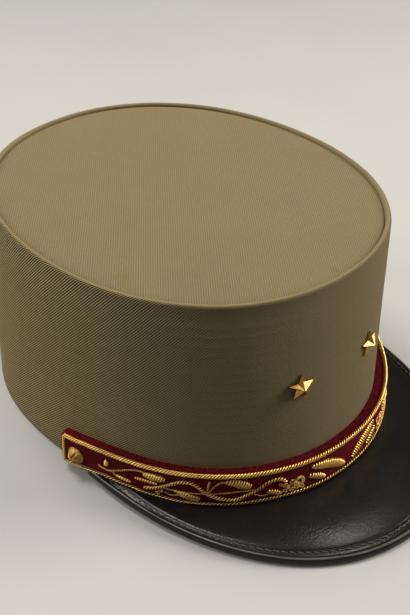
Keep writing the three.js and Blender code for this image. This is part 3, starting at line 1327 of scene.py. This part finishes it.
@dataclass
class BandForm:
    """Padded band round the crown's foot, which gives the place of flat needlework."""

    crown: CrownForm
    rows: tuple[EdgeRow, ...] = (
        EdgeRow(0, 5.8, 20.4),
        EdgeRow(35, 5.9, 20.4),
        EdgeRow(52, 5.0, 20.2),
        EdgeRow(72, 4.9, 20.2),
        EdgeRow(86, 5.9, 20.6),
        EdgeRow(97, 7.3, 21.1),
        EdgeRow(106, 8.1, 21.3),
        EdgeRow(115, 7.0, 20.9),
        EdgeRow(123, 5.5, 19.9),
        EdgeRow(129, 4.7, 19.2),
    )
    foot_depth: float = 5.7
    top_depth: float = 4.9

    def edge(self, along: float, edge: Edge) -> float:
        """Height of an edge, eased between the rows.

        Args:
            along: Length from the front.
            edge: The edge.

        Returns:
            Its height there.
        """
        length = min(abs(along), self.rows[-1].along)
        k = next(i for i, row in enumerate(self.rows) if row.along >= length) or 1
        before, after = self.rows[k - 1], self.rows[k]
        share = eased((length - before.along) / (after.along - before.along))
        return lerp(getattr(before, edge.value), getattr(after, edge.value), share)

    def depth(self, along: float, height: float) -> float:
        """Distance of the band's face from the crown."""
        lower, upper = self.edge(along, Edge.LOWER), self.edge(along, Edge.UPPER)
        return lerp(self.foot_depth, self.top_depth, (height - lower) / (upper - lower))

    def laid(self, flat: Vector) -> Vector:
        """World place of a flat point.

        Args:
            flat: Length along, height and distance off the face, in millimetres.

        Returns:
            The place.
        """
        turn = self.crown.turn_at(flat.x * MM)
        out = self.depth(flat.x, flat.y) + flat.z
        return self.crown.point(turn, flat.y * MM, out * MM)


# Sub-assemblies

@dataclass
class Crown:
    """Stiff cloth wall with a rolled rim, and the flat top sunk inside it."""

    form: CrownForm
    wall: float = 2.6 * MM
    hem: float = 0.9 * MM
    rim_round: float = 1.2 * MM
    block_radius: float = 90 * MM
    steps: int = 256
    rows: int = 22
    recess: float = 1.3 * MM
    top_cloth: float = 2.0 * MM
    top_round: float = 0.7 * MM
    top_axis: float = 0.01 * MM
    top_rows: int = 30
    top_slack: float = 1.6
    top_taut: int = 6
    crease: float = 0.2 * MM
    crease_from: float = 0.97
    crease_width: float = 0.03
    unevenness: float = 0.22 * MM
    ripple: float = 38
    crumple: float = 110
    crumple_share: float = 0.4
    wall_finish: Finish = TwillCloth(
        "wall_twill", Lay.WRAPPED, 0.92 * MM, 44, "918052", "140f06", 0.9 * MM,
    )
    top_finish: Finish = TwillCloth(
        "top_twill", Lay.PLAN, 0.94 * MM, 49.5, "665a3f", "50472d", 0.16 * MM,
        slubs=0.8, broken=0.85, mottling=0.1,
        spots=(Spot(-63.7 * MM, -14.3 * MM, 2.9 * MM), Spot(0.3 * MM, -64.8 * MM, 2.4 * MM)),
    )

    def build(self) -> None:
        """Builds the wall and the top."""
        self.build_wall()
        self.build_top()

    def turn_of(self, spot: Vector, near: Vector | None = None) -> float:
        """Turn from the front of a bench point.

        Args:
            spot: The point.
            near: A point that it is kept beside across the back.

        Returns:
            The turn.
        """
        turn = math.atan2(spot.x, -spot.y)
        if near is not None:
            middle = math.atan2(near.x, -near.y)
            turn += TAU * round((middle - turn) / TAU)
        return turn

    def inset(self, spot: Vector) -> float:
        """Distance of a bench point inside the block's radius."""
        return self.block_radius - math.hypot(spot.x, spot.y)

    def sway(self, spot: Vector) -> float:
        """Slight unevenness of stretched cloth at a place."""
        crumple = self.crumple_share * self.unevenness * noise.noise(spot * self.crumple)
        return self.unevenness * noise.noise(spot * self.ripple) + crumple

    def build_wall(self) -> None:
        """Turns the wall's rounded section round and pulls it to the crown's plan."""
        bench = Bench("crown_wall_twill")
        rounds = (self.hem, self.hem, self.rim_round, self.rim_round)
        edges = bench.plate(self.block_radius - self.wall, self.block_radius,
                            self.form.front_height, rounds, segments=6, rows=self.rows)
        bench.turn(edges, self.steps)
        bench.shape(self.wall_place, self.wall_lay)
        settle(bench.finish(self.wall_finish), Slot.CLOTH, "crown_wall")

    def wall_place(self, spot: Vector) -> Vector:
        """World place of a point of the wall.

        Args:
            spot: The bench point.

        Returns:
            The place.
        """
        inset, turn, share = self.inset(spot), self.turn_of(spot), spot.z / self.form.front_height
        bare = self.form.wall_point(turn, share, -inset)
        return self.form.wall_point(turn, share, -inset + self.sway(bare))

    def wall_lay(self, spot: Vector, middle: Vector) -> Pair:
        """Length along the wall and up it, at a bench point of a face with a given middle."""
        return self.form.along_at(self.turn_of(spot, middle)), spot.z + self.inset(spot)

    def build_top(self) -> None:
        """Turns the top's section into a disc, fits it inside the rim and tucks its edge down."""
        bench = Bench("crown_top_twill")
        rounds = (self.top_axis, self.top_round, self.top_round, self.top_axis)
        edges = bench.plate(0.0, self.block_radius, self.top_cloth, rounds,
                            segments=3, rows=self.top_rows)
        bench.turn(edges, self.steps)
        bench.shape(self.top_place)
        settle(bench.finish(self.top_finish), Slot.CLOTH, "crown_top")

    def top_place(self, spot: Vector) -> Vector:
        """World place of a point of the top.

        Args:
            spot: The bench point.

        Returns:
            The place.
        """
        share = math.hypot(spot.x, spot.y) / self.block_radius
        rim = self.form.wall_point(self.turn_of(spot), 1, -self.wall)
        y = lerp(self.form.rim.shift, rim.y - self.form.middle_y, share)
        tucked = self.crease * eased((share - self.crease_from) / self.crease_width)
        drop = self.recess + self.top_cloth - spot.z + tucked
        bare = Vector((rim.x * share, y + self.form.middle_y, self.form.rim_height(y) - drop))
        return bare + lift(self.top_slack * self.sway(bare) * (1 - share**self.top_taut))


@dataclass(frozen=True)
class Pile:
    """Fibres standing on part of the band, by their number and longest length in millimetres."""

    name: str
    fibres: int
    longest: float
    finish: Finish


@dataclass
class VelvetBand:
    """Padded velvet band with a pile that stands off it, in millimetres."""

    form: BandForm
    reach: float = 131.2
    end_round: float = 2.2
    end_steps: int = 5
    over_cord: float = -0.1
    under_cord: float = 0.2
    tuck: float = 0.1
    rounds: tuple[float, float, float, float] = (0.6, 1.4, 1.9, 0.5)
    steps: int = 190
    pillow: float = 0.35
    nap: float = 0.25
    nap_scale: float = 160
    fill: float = 0.85
    looks_up: float = 0.35
    looks_out: float = 0.2
    fibre_radius: float = 0.05
    fibre_tip: float = 0.3
    fibre_lean: float = 0.6
    shortest: float = 0.3
    tuft: float = 1.5 * MM
    tuft_mean: float = 0.75
    tuft_swing: float = 0.6
    seed: int = 7
    face_pile: Pile = Pile(
        "velvet_pile_fibres", 28000, 0.5, VelvetPile("velvet_fibre", "3a0306", "720a10"),
    )
    # The fuzz on the upper edge is coloured lighter than the face pile: painted light where the
    # band's top catches it.
    edge_pile: Pile = Pile(
        "velvet_edge_fuzz", 46000, 2.2, VelvetPile("velvet_fuzz", "6a141c", "b02c3c", glow=0.6),
    )
    finish: Finish = VelvetPile()

    def build(self) -> None:
        """Builds the band and its pile."""
        band = self.build_band()
        # The operators leave faces in an order that changes from run to run, so they are sorted.
        faces = [face for face in band.data.polygons if self.shows(face)]
        faces.sort(key=lambda face: tuple(face.center))
        self.build_pile(band, self.face_pile, [face for face in faces if not self.is_edge(face)])
        self.build_pile(band, self.edge_pile, [face for face in faces if self.is_edge(face)])

    @property
    def tall(self) -> float:
        """Height of the band as it is drawn on the bench."""
        first = self.form.rows[0]
        return first.upper - first.lower + self.over_cord + self.under_cord

    @property
    def thick(self) -> float:
        """Thickness of the band as it is drawn on the bench."""
        return self.form.foot_depth - self.tuck

    def build_band(self) -> bpy.types.Object:
        """Draws the padded section along the front and lays it round the crown.

        Returns:
            The band.
        """
        bench = Bench("velvet_band_padded")
        edges = bench.plate(0, self.thick, self.tall, self.rounds, segments=5, rows=6)
        straight = self.reach - self.end_round
        inner = [lerp(-1, 1, i / self.steps) * straight for i in range(self.steps + 1)]
        turns = [i / self.end_steps * math.pi / 2 for i in range(1, self.end_steps + 1)]
        ends = [straight + self.end_round * math.sin(turn) for turn in turns]
        bench.draw(edges, [*(-end for end in reversed(ends)), *inner, *ends])
        bench.shape(self.place)
        band = settle(bench.finish(self.finish), Slot.VELVET, "velvet_band")
        return band

    def place(self, spot: Vector) -> Vector:
        """World place of a point of the padded band, rounded off at its ends.

        Args:
            spot: The bench point: depth, length along and height.

        Returns:
            The place.
        """
        along, deep, share = spot.y, spot.x / self.thick, spot.z / self.tall
        past = max(0.0, abs(along) - self.reach + self.end_round) / self.end_round
        pull = self.end_round * (1 - math.sqrt(max(0.0, 1 - past * past)))
        foot = self.form.edge(along, Edge.LOWER) - self.under_cord + pull
        head = self.form.edge(along, Edge.UPPER) + self.over_cord - pull
        height = lerp(foot, head, share)
        swell = self.pillow * math.sin(math.pi * share) * (1 - past)
        fall = self.form.depth(along, height) - self.form.foot_depth
        out = self.tuck + deep * (self.thick + fall + swell - pull)
        turn = self.form.crown.turn_at(along * MM)
        bare = self.form.crown.point(turn, height * MM, out * MM)
        nap = self.nap * noise.noise(bare * self.nap_scale) * spot.x / self.thick
        return self.form.crown.point(turn, height * MM, (out + nap) * MM)

    def shows(self, face: bpy.types.MeshPolygon) -> bool:
        """Whether a face of the band looks up or away from the crown.

        Args:
            face: The face.

        Returns:
            True for a four-sided face that does.
        """
        away = face.center - Vector((0, self.form.crown.middle_y, face.center.z))
        looks_out = face.normal.dot(away.normalized()) > self.looks_out
        return len(face.vertices) == 4 and (self.is_edge(face) or looks_out)

    def is_edge(self, face: bpy.types.MeshPolygon) -> bool:
        """Whether a face belongs to the band's upper edge."""
        return face.normal.z > self.looks_up

    def corners(self, band: bpy.types.Object, face: bpy.types.MeshPolygon) -> list[Vector]:
        """Corners of a face in turn, from the same one in every run.

        Args:
            band: The band.
            face: One of its faces.

        Returns:
            The corners' places, from the lowest X on.
        """
        spots = [band.data.vertices[i].co for i in face.vertices]
        start = min(range(len(spots)), key=lambda i: tuple(spots[i]))
        return spots[start:] + spots[:start]

    def build_pile(
        self, band: bpy.types.Object, pile: Pile, faces: Sequence[bpy.types.MeshPolygon]
    ) -> None:
        """Stands flat tapering fibres on faces of the band, longer and shorter in tufts.

        Args:
            band: The band.
            pile: The fibres.
            faces: Faces that they stand on.
        """
        chance = random.Random(self.seed)
        corners, strips = [], []
        for face in chance.choices(faces, [face.area for face in faces], k=pile.fibres):
            first, second, third, fourth = self.corners(band, face)
            u, v = chance.random(), chance.random()
            root = first.lerp(second, u).lerp(fourth.lerp(third, u), v)
            lean = [chance.uniform(-self.fibre_lean, self.fibre_lean) for _ in range(3)]
            tufted = self.tuft_mean + self.tuft_swing * noise.noise(root / self.tuft)
            share = lerp(self.shortest, 1.0, chance.random() ** 2)
            length = pile.longest * share * tufted * MM
            rise = (face.normal + Vector(lean)).normalized() * length
            across = rise.cross(Vector([chance.uniform(-1, 1) for _ in range(3)]))
            side = across.normalized() * self.fibre_radius * MM
            tip = self.fibre_tip * side
            strips.append(range(len(corners), len(corners) + 4))
            corners += [root - side, root + side, root + rise + tip, root + rise - tip]
        mesh = bpy.data.meshes.new(pile.name)
        mesh.from_pydata(corners, [], strips)
        settle(put_out(pile.name, mesh, pile.finish), Slot.VELVET)


@dataclass
class EdgeCords:
    """Twisted gold cords along the band's upper edge and ends, and its lower edge."""

    form: BandForm
    upper_radius: float = 1.0
    upper_pitch: float = 3.9
    end_radius: float = 0.85
    end_pitch: float = 3.4
    lower_radius: float = 0.6
    lower_pitch: float = 2.9
    plies: int = 3
    lower_plies: int = 2
    off: float = 0.4
    end_along: float = 128.0
    end_foot: float = 5.2
    stations: int = 300
    turn_steps: int = 20
    finish: Finish = GoldThread()

    def build(self) -> None:
        """Builds both cords."""
        self.build_upper()
        self.build_lower()

    def along(self, edge: Edge) -> list[Vector]:
        """Flat points along an edge of the band, from end to end.

        Args:
            edge: The edge.

        Returns:
            The points.
        """
        shares = [i / self.stations for i in range(self.stations + 1)]
        places = [lerp(-self.end_along, self.end_along, share) for share in shares]
        return [Vector((place, self.form.edge(place, edge), self.off)) for place in places]

    def lay(
        self, needle: Needle, line: Sequence[Vector], radius: float, plies: int, pitch: float
    ) -> None:
        """Lays one cord along a flat line."""
        needle.cord(even_route(line, pitch / self.turn_steps), radius, plies, pitch)

    def build_upper(self) -> None:
        """Lays the thicker cord along the upper edge and down both ends."""
        needle = Needle("upper_cord_twisted", self.form.laid)
        top = self.along(Edge.UPPER)
        self.lay(needle, top, self.upper_radius, self.plies, self.upper_pitch)
        for head in (top[0], top[-1]):
            foot = Vector((head.x, self.end_foot, self.off))
            self.lay(needle, [foot, head], self.end_radius, self.plies, self.end_pitch)
        settle(needle.finish(self.finish), Slot.GOLD_THREAD, "band_cord_upper")

    def build_lower(self) -> None:
        """Lays the thinner cord along the lower edge."""
        needle = Needle("lower_cord_twisted", self.form.laid)
        line = self.along(Edge.LOWER)
        self.lay(needle, line, self.lower_radius, self.lower_plies, self.lower_pitch)
        settle(needle.finish(self.finish), Slot.GOLD_THREAD, "band_cord_lower")


@dataclass(frozen=True)
class Spray:
    """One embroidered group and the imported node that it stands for."""

    node: str
    stems: tuple[Stem, ...] = ()
    leaves: tuple[Leaf, ...] = ()
    curls: tuple[Curl, ...] = ()
    finish: Finish = GoldThread()


@dataclass
class Embroidery:
    """Gold wire embroidery on both sides of the band, mirrored about the front."""

    form: BandForm
    sprays: tuple[Spray, ...] = (
        Spray(
            "scroll_spray",
            stems=(
                Stem(
                    (
                        (88.4, 9.0), (84.2, 10.0), (79.2, 12.6), (74.2, 15.4), (69.7, 16.2),
                        (66.5, 14.4), (62.7, 10.6), (58.7, 8.5), (54.2, 7.5), (51.0, 7.8),
                        (47.2, 9.6), (42.7, 12.2), (39.2, 14.7), (35.4, 15.9), (32.6, 15.2),
                        (31.4, 13.6),
                    ),
                    0.85, 2, 2.6,
                ),
                Stem(((82.0, 11.0), (72.0, 10.2), (62.7, 10.5), (54.0, 11.3), (44.0, 12.2)), 0.42),
                Stem(((61.6, 17.4), (62.3, 14.2), (62.7, 10.6)), 0.55),
                Stem(((62.7, 10.6), (59.6, 14.8), (56.4, 17.0), (53.0, 16.6)), 0.48),
                Stem(((80.0, 8.6), (77.0, 7.6), (74.0, 8.2)), 0.4),
                Stem(((44.5, 9.4), (41.5, 8.2), (38.4, 8.5)), 0.4),
            ),
            leaves=(
                Leaf(55.6, 17.0, 45.4, 14.2, 3.2, 0.4),
                Leaf(52.0, 14.9, 45.6, 13.2, 1.6, 0.1, 0.6),
                Leaf(76.0, 10.4, 65.8, 7.2, 1.9, -0.2, 0.7),
                Leaf(73.6, 8.1, 66.6, 6.2, 1.6, 0.1, 0.6),
                Leaf(39.2, 10.1, 33.4, 7.4, 2.2, 0.2, 0.7),
                Leaf(92.8, 12.7, 83.0, 12.2, 1.2, 0.1, 0.5),
            ),
            curls=(
                Curl(81.4, 9.2, 0.7, 1.2, 0.3),
                Curl(82.9, 7.7, 0.8, 1.2, 0.1),
            ),
        ),
        Spray(
            "temple_spray",
            stems=(
                Stem(
                    (
                        (109.5, 12.6), (105.0, 11.8), (100.0, 13.7), (95.0, 16.2), (90.0, 17.3),
                        (85.5, 16.4),
                    ),
                    0.46,
                ),
            ),
            leaves=(Leaf(88.8, 16.2, 79.6, 15.2, 3.3),),
        ),
        Spray("bud", leaves=(Leaf(105.8, 14.3, 104.9, 17.3, 1.8),)),
        Spray(
            "low_leaf",
            stems=(Stem(((102.4, 12.0), (101.4, 10.8), (99.0, 10.2)), 0.4),),
            leaves=(Leaf(101.0, 10.6, 94.4, 9.4, 1.3, 0.0, 0.6),),
        ),
        Spray(
            "flower",
            curls=(
                Curl(25.6, 11.9, 2.3, 1.9, 0.1, 0.7),
                Curl(28.6, 12.6, 1.2, 1.3, 0.4, 0.6),
                Curl(29.6, 10.2, 1.3, 1.4, 0.8, 0.7),
                Curl(27.2, 9.2, 1.2, 1.3, 0.2, 0.6),
                Curl(24.6, 8.8, 1.1, 1.3, 0.6, 0.5),
                Curl(31.6, 11.4, 1.1, 1.3, 0.5, 0.5),
                Curl(31.9, 8.7, 1.0, 1.2, 0.9, 0.5),
                Curl(33.8, 12.4, 0.8, 1.2, 0.3, 0.4),
                Curl(27.0, 11.0, 1.1, 1.4, 0.7, 1.1),
                Curl(29.2, 8.0, 0.8, 1.2, 0.0, 0.4),
            ),
            finish=GoldThread("bright_purl", "ffd678", "d8a040"),
        ),
        Spray("small_leaf", leaves=(Leaf(21.4, 12.4, 13.4, 8.0, 2.6, 0.3),)),
        Spray("large_leaf", leaves=(Leaf(19.8, 16.5, 2.4, 8.3, 4.3, 1.2, 1.1),)),
    )

    def build(self) -> None:
        """Builds every spray on both sides."""
        for side in Side:
            for spray in self.sprays:
                self.build_spray(spray, side)

    def build_spray(self, spray: Spray, side: Side) -> None:
        """Draws one spray with the needle and lays it on the band.

        Args:
            spray: The spray.
            side: Side of the band.
        """
        needle = Needle(f"{spray.node}_wires_{side.word}", self.form.laid)
        for stem in spray.stems:
            needle.stem(stem, side)
        for leaf in spray.leaves:
            needle.satin(leaf, side)
        for curl in spray.curls:
            needle.curl(curl, side)
        settle(needle.finish(spray.finish), Slot.GOLD_THREAD, f"{spray.node}_{side.word}")


@dataclass
class Buttons:
    """Gilt dome buttons at the ends of the band, chased with a plain rosette, in millimetres."""

    form: BandForm
    along: float = 121.4
    height: float = 11.6
    off: float = 0.1
    profile: tuple[Pair, ...] = (
        (0.0, 0.0), (3.75, 0.0), (4.05, 0.25), (4.1, 0.55), (3.9, 0.8), (3.65, 0.85),
        (3.5, 1.1), (3.15, 1.7), (2.5, 2.35), (1.6, 2.85), (0.75, 3.05), (0.0, 3.1),
    )
    steps: int = 64
    petals: int = 8
    petal_start: float = 1.4
    petal_end: float = 3.1
    petal_fade: float = 0.8
    chasing: float = 0.6
    ring_radius: float = 1.2
    ring_width: float = 0.35
    ring_depth: float = 0.12
    dome_foot: float = 0.9
    finish: Finish = GiltMetal("button_gilt", "bd9850", "6c501e", 0.42, 1.1 * MM, 0.7 * MM)

    def build(self) -> None:
        """Builds both buttons."""
        for side in Side:
            bench = Bench(f"button_gilt_{side.word}")
            bench.turn(bench.outline(self.profile, closed=False), self.steps)
            bench.shape(lambda spot, sign=side.value: self.place(spot, sign))
            settle(bench.finish(self.finish), Slot.GILT, f"button_{side.word}")

    def place(self, spot: Vector, sign: int) -> Vector:
        """World place of a turned point, raised by the rosette.

        Args:
            spot: The bench point.
            sign: Sign of the button's side.

        Returns:
            The place.
        """
        radius = math.hypot(spot.x, spot.y)
        petal = math.cos(self.petals * math.atan2(spot.y, spot.x))
        petal *= eased(radius / self.petal_start)
        petal *= eased((self.petal_end - radius) / self.petal_fade)
        ring = eased(1 - abs(radius - self.ring_radius) / self.ring_width) * self.ring_depth
        rise = spot.z + (self.chasing * petal - ring if spot.z > self.dome_foot else 0)
        along = sign * self.along + spot.x
        return self.form.laid(Vector((along, self.height + spot.y, self.off + rise)))


@dataclass
class Stars:
    """Two faceted gilt stars on the front of the crown, set by hand a little unevenly."""

    crown: CrownForm
    height: float = 57.5 * MM
    points: int = 5
    reach: float = 6.1 * MM
    waist: float = 2.6 * MM
    edge: float = 0.7 * MM
    apex: float = 3.5 * MM
    seat: float = 0.15 * MM
    soften: float = 0.05 * MM
    merge: float = 0.001 * MM
    sharp_deg: float = 12
    turns: Mapping[Side, float] = field(
        default_factory=lambda: {Side.RIGHT: -0.261, Side.LEFT: 0.217}
    )
    finish: Finish = GiltMetal()

    def build(self) -> None:
        """Builds both stars."""
        for side, turn in self.turns.items():
            self.build_star(side, turn)

    def build_star(self, side: Side, turn: float) -> None:
        """Pulls a ten-sided cone into a star, softens its ridges and sets it on the crown.

        Args:
            side: Side of the cap.
            turn: Turn of the star's middle from the front.
        """
        bench = Bench(f"star_gilt_{side.word}")
        work = bench.work
        sides = 2 * self.points
        bmesh.ops.create_cone(work, cap_ends=True, segments=sides, radius1=1, radius2=0,
                              depth=self.apex - self.edge)
        self.pull_arms(work)
        base = [face for face in work.faces if len(face.verts) == sides]
        made = bmesh.ops.extrude_face_region(work, geom=base)["geom"]
        bmesh.ops.delete(work, geom=base, context="FACES_ONLY")
        for vert in (item for item in made if isinstance(item, bmesh.types.BMVert)):
            vert.co.z = 0
        bmesh.ops.remove_doubles(work, verts=list(work.verts), dist=self.merge)
        ridges = [e for e in work.edges if max(vert.co.z for vert in e.verts) > self.edge / 2]
        bmesh.ops.bevel(work, geom=ridges, offset=self.soften, segments=2, profile=0.5,
                        affect="EDGES", material=-1, clamp_overlap=True)
        stride = self.crown.run(turn, self.height / self.crown.front_height).length
        bench.shape(lambda spot: self.crown.point(
            turn + spot.x / stride, self.height + spot.y, self.seat + spot.z))
        settle(bench.finish(self.finish, self.sharp_deg), Slot.GILT, f"star_{side.word}")

    def pull_arms(self, work: bmesh.types.BMesh) -> None:
        """Sets a cone of radius 1 on the star's edge and pulls its foot into arms.

        Args:
            work: The cone.
        """
        lowest = min(vert.co.z for vert in work.verts)
        for vert in work.verts:
            arm = math.hypot(vert.co.x, vert.co.y)
            vert.co.z += self.edge - lowest
            if arm > 0.5:  # a corner of the foot, not the apex
                ray = round(math.atan2(vert.co.x, vert.co.y) / math.pi * self.points)
                size = self.waist if ray % 2 else self.reach
                vert.co.x *= size / arm
                vert.co.y *= size / arm


@dataclass
class Peak:
    """Leather peak with a bound edge and a row of stitches beside it."""

    band: BandForm
    half_width: float = 85.2 * MM
    root_y: float = -30.4 * MM
    reach: float = 118 * MM
    power: float = 2.13
    root_along: float = 112
    outer_front: float = 3.0 * MM
    outer_side: float = 5.2 * MM
    inner_front: float = 4.6 * MM
    inner_side: float = 6.0 * MM
    arch: float = 1.8 * MM
    cord_drop: float = 0.2
    under_band: float = 1.4 * MM
    seam: float = 0.3 * MM
    width: float = 46 * MM
    edge_zone: float = 6 * MM
    steps: int = 200
    section: tuple[Pair, ...] = (
        (46, 0), (38, 0), (30, 0), (22, 0), (14, 0), (9, 0), (7, -0.05), (6.1, -0.15),
        (5.7, -0.3), (5.55, -0.1), (5.35, 0.2), (5.1, 0.28), (4.8, 0.14), (4.4, 0.02),
        (3.8, 0.0), (3.1, -0.04), (2.6, -0.08), (2.2, 0.15), (1.7, 0.5), (1.2, 0.55),
        (0.7, 0.3), (0.3, -0.3), (0.0, -1.2), (0.0, -2.2), (0.3, -2.7), (1.4, -2.8),
        (6, -2.6), (26, -2.6), (46, -2.6),
    )
    stitch: float = 2.4 * MM
    stitch_gap: float = 0.9 * MM
    stitch_inward: float = 4.6 * MM
    stitch_rise: float = 0.05 * MM
    stitch_bow: float = 0.16 * MM
    stitch_sink: float = 0.06 * MM
    stitch_radius: float = 0.34
    stitch_slant: float = 0.3 * MM
    stitch_steps: int = 8
    seam_steps: int = 900
    finish: Finish = PeakLeather()
    thread: Finish = WaxedThread()

    def build(self) -> None:
        """Builds the leather and its stitches."""
        self.build_leather()
        self.build_stitches()

    def outer(self, share: float) -> Vector:
        """Plan point of the outer edge, from the crown's middle.

        Args:
            share: Share of the way from right to left.

        Returns:
            X and Y.
        """
        angle = math.pi * share
        x = -self.half_width * powered(math.cos(angle), self.power)
        return Vector((x, self.root_y - self.reach * powered(math.sin(angle), self.power)))

    def point(self, share: float, inward: float, rise: float) -> Vector:
        """World place of a point of the section.

        Args:
            share: Share of the way from right to left.
            inward: Distance in from the outer edge, on the section as drawn.
            rise: Height above the upper face.

        Returns:
            The place.
        """
        crown = self.band.crown
        front = math.sin(math.pi * share)
        along = lerp(-self.root_along, self.root_along, share)
        turn = crown.turn_at(along * MM)
        outer = self.outer(share)
        inner = crown.plan(turn, 0) + crown.outward(turn, 0) * self.seam
        width = (outer - inner).length
        zone = min(self.edge_zone, width / 2)
        if inward < self.edge_zone:
            across = inward / self.edge_zone * zone / width
        else:
            past = (inward - self.edge_zone) / (self.width - self.edge_zone)
            across = lerp(zone, width, past) / width
        outer_top = lerp(self.outer_side, self.outer_front, front)
        band_foot = (self.band.edge(along, Edge.LOWER) - self.cord_drop) * MM
        inner_top = lerp(self.inner_side, self.inner_front, front)
        inner_top = min(inner_top, band_foot - self.under_band)
        bulge = self.arch * front * math.sin(math.pi * across) ** 2
        plan = outer.lerp(inner, across)
        height = lerp(outer_top, inner_top, across) + bulge + rise
        return Vector((plan.x, plan.y + crown.middle_y, height))

    def build_leather(self) -> None:
        """Draws the section from temple to temple."""
        bench = Bench("peak_leather_bound")
        edges = bench.outline([(inward * MM, rise * MM) for inward, rise in self.section])
        bench.draw(edges, [i / self.steps for i in range(self.steps + 1)])
        bench.shape(lambda spot: self.point(spot.y, spot.x, spot.z),
                    lambda spot, _: (spot.y * self.reach, spot.x))
        settle(bench.finish(self.finish), Slot.LEATHER, "peak")

    def build_stitches(self) -> None:
        """Sews a row of slanting stitches along the bound edge."""
        shares = [i / self.seam_steps for i in range(self.seam_steps + 1)]
        line = [self.point(share, self.stitch_inward, self.stitch_rise) for share in shares]
        steps = self.stitch_steps
        route = even_route(line, self.stitch / steps)
        stride = round((self.stitch + self.stitch_gap) / (self.stitch / steps))
        needle = Needle("peak_stitches", lambda point: point)
        for first in range(0, len(route) - steps - 1, stride):
            run = route[first:first + steps + 1]
            beside = (run[-1] - run[0]).cross(Vector((0, 0, 1))).normalized()
            points = []
            for i, spot in enumerate(run):
                lean = beside * self.stitch_slant * (2 * i / steps - 1)
                bow = self.stitch_bow * math.sin(math.pi * i / steps)
                points.append(spot + lean + lift(bow - self.stitch_sink))
            needle.wire(points, self.stitch_radius)
        settle(needle.finish(self.thread), Slot.LEATHER)


# Studio

@dataclass(frozen=True)
class Lamp:
    """One softbox, by its place, size and power."""

    name: str
    place: Triple
    wide: float
    tall: float
    watts: float
    colour: Triple = (1.0, 0.97, 0.92)


@dataclass
class Studio:
    """Pale floor, soft lamps and the camera at the photograph's angle."""

    target: Triple = (-1.855 * MM, 6.249 * MM, 45 * MM)
    azimuth_deg: float = -43.84
    elevation_deg: float = 35.92
    roll_deg: float = 0.385
    distance: float = 406 * MM
    nearest: float = 10 * MM
    lens: float = 50.0
    sensor: float = 36.0
    floor_size: float = 8.0
    floor_tiles: int = 4
    floor_drop: float = 0.15 * MM
    sky: float = 0.12
    lamps: tuple[Lamp, ...] = (
        Lamp("overhead", (-0.1, 0.5, 1.3), 0.6, 0.6, 21.5),
        Lamp("left_strip", (-0.85, 0.75, 0.5), 0.4, 0.8, 12.0),
        Lamp("right_strip", (1.08, -0.7, 0.72), 0.7, 0.9, 35.0, (1.0, 0.94, 0.87)),
        Lamp("front_panel", (0.4, -0.73, 1.2), 0.55, 0.55, 1.0),
        Lamp("camera_fill", (-0.5, -0.65, 0.95), 0.25, 0.25, 1.8),
        Lamp("glint", (0.6, 0.05, 1.3), 0.14, 0.14, 1.5, (1.0, 0.95, 0.82)),
        Lamp("star_glint", (0.19, -0.81, 1.11), 0.14, 0.14, 0.8),
    )

    def build(self) -> None:
        """Sets the floor, the lamps, the surroundings and the camera."""
        self.build_floor()
        for lamp in self.lamps:
            self.hang(lamp)
        self.light_surroundings()
        self.set_camera()

    def build_floor(self) -> None:
        """Lays the floor just under the cap."""
        bench = Bench("studio_floor")
        bmesh.ops.create_grid(bench.work, x_segments=self.floor_tiles,
                              y_segments=self.floor_tiles, size=self.floor_size / 2)
        bench.shape(lambda spot: spot - lift(self.floor_drop))
        bench.finish(FloorPaint())

    def hang(self, lamp: Lamp) -> None:
        """Hangs a softbox facing the cap.

        Args:
            lamp: The softbox.
        """
        light = bpy.data.lights.new(lamp.name, "AREA")
        light.shape = "RECTANGLE"
        light.size, light.size_y = lamp.wide, lamp.tall
        light.energy = lamp.watts
        light.color = lamp.colour
        held = bpy.data.objects.new(lamp.name, light)
        away = Vector(lamp.place) - Vector(self.target)
        facing = away.to_track_quat("Z", "Y").to_matrix().to_4x4()
        held.matrix_world = Matrix.Translation(lamp.place) @ facing
        bpy.context.scene.collection.objects.link(held)

    def light_surroundings(self) -> None:
        """Gives the studio a dim even light from all round."""
        world = bpy.data.worlds.new("studio_surroundings")
        world.use_nodes = True
        sky = world.node_tree.nodes["Background"].inputs
        sky["Color"].default_value = (1, 1, 1, 1)
        sky["Strength"].default_value = self.sky
        bpy.context.scene.world = world
        bpy.context.scene.view_settings.view_transform = "Standard"

    def set_camera(self) -> None:
        """Sets the camera at the photograph's viewing angle."""
        camera = bpy.data.cameras.new("camera")
        camera.lens = self.lens
        camera.sensor_fit = "VERTICAL"
        camera.sensor_height = self.sensor
        camera.clip_start = self.nearest
        held = bpy.data.objects.new("camera", camera)
        turned = (
            Matrix.Rotation(math.radians(self.azimuth_deg), 4, "Z")
            @ Matrix.Rotation(math.radians(90 - self.elevation_deg), 4, "X")
            @ Matrix.Rotation(math.radians(self.roll_deg), 4, "Z")
        )
        back = turned.to_3x3() @ lift(self.distance)
        held.matrix_world = Matrix.Translation(Vector(self.target) + back) @ turned
        bpy.context.scene.collection.objects.link(held)
        bpy.context.scene.camera = held


def main() -> None:
    """Builds the studio, then the cap piece by piece, and logs how many faces each piece has."""
    logging.basicConfig(level=logging.INFO, format="%(message)s")
    Studio().build()
    crown_form = CrownForm()
    band_form = BandForm(crown_form)
    Crown(crown_form).build()
    Peak(band_form).build()
    VelvetBand(band_form).build()
    EdgeCords(band_form).build()
    Embroidery(band_form).build()
    Buttons(band_form).build()
    Stars(crown_form).build()


if __name__ == "__main__":
    main()
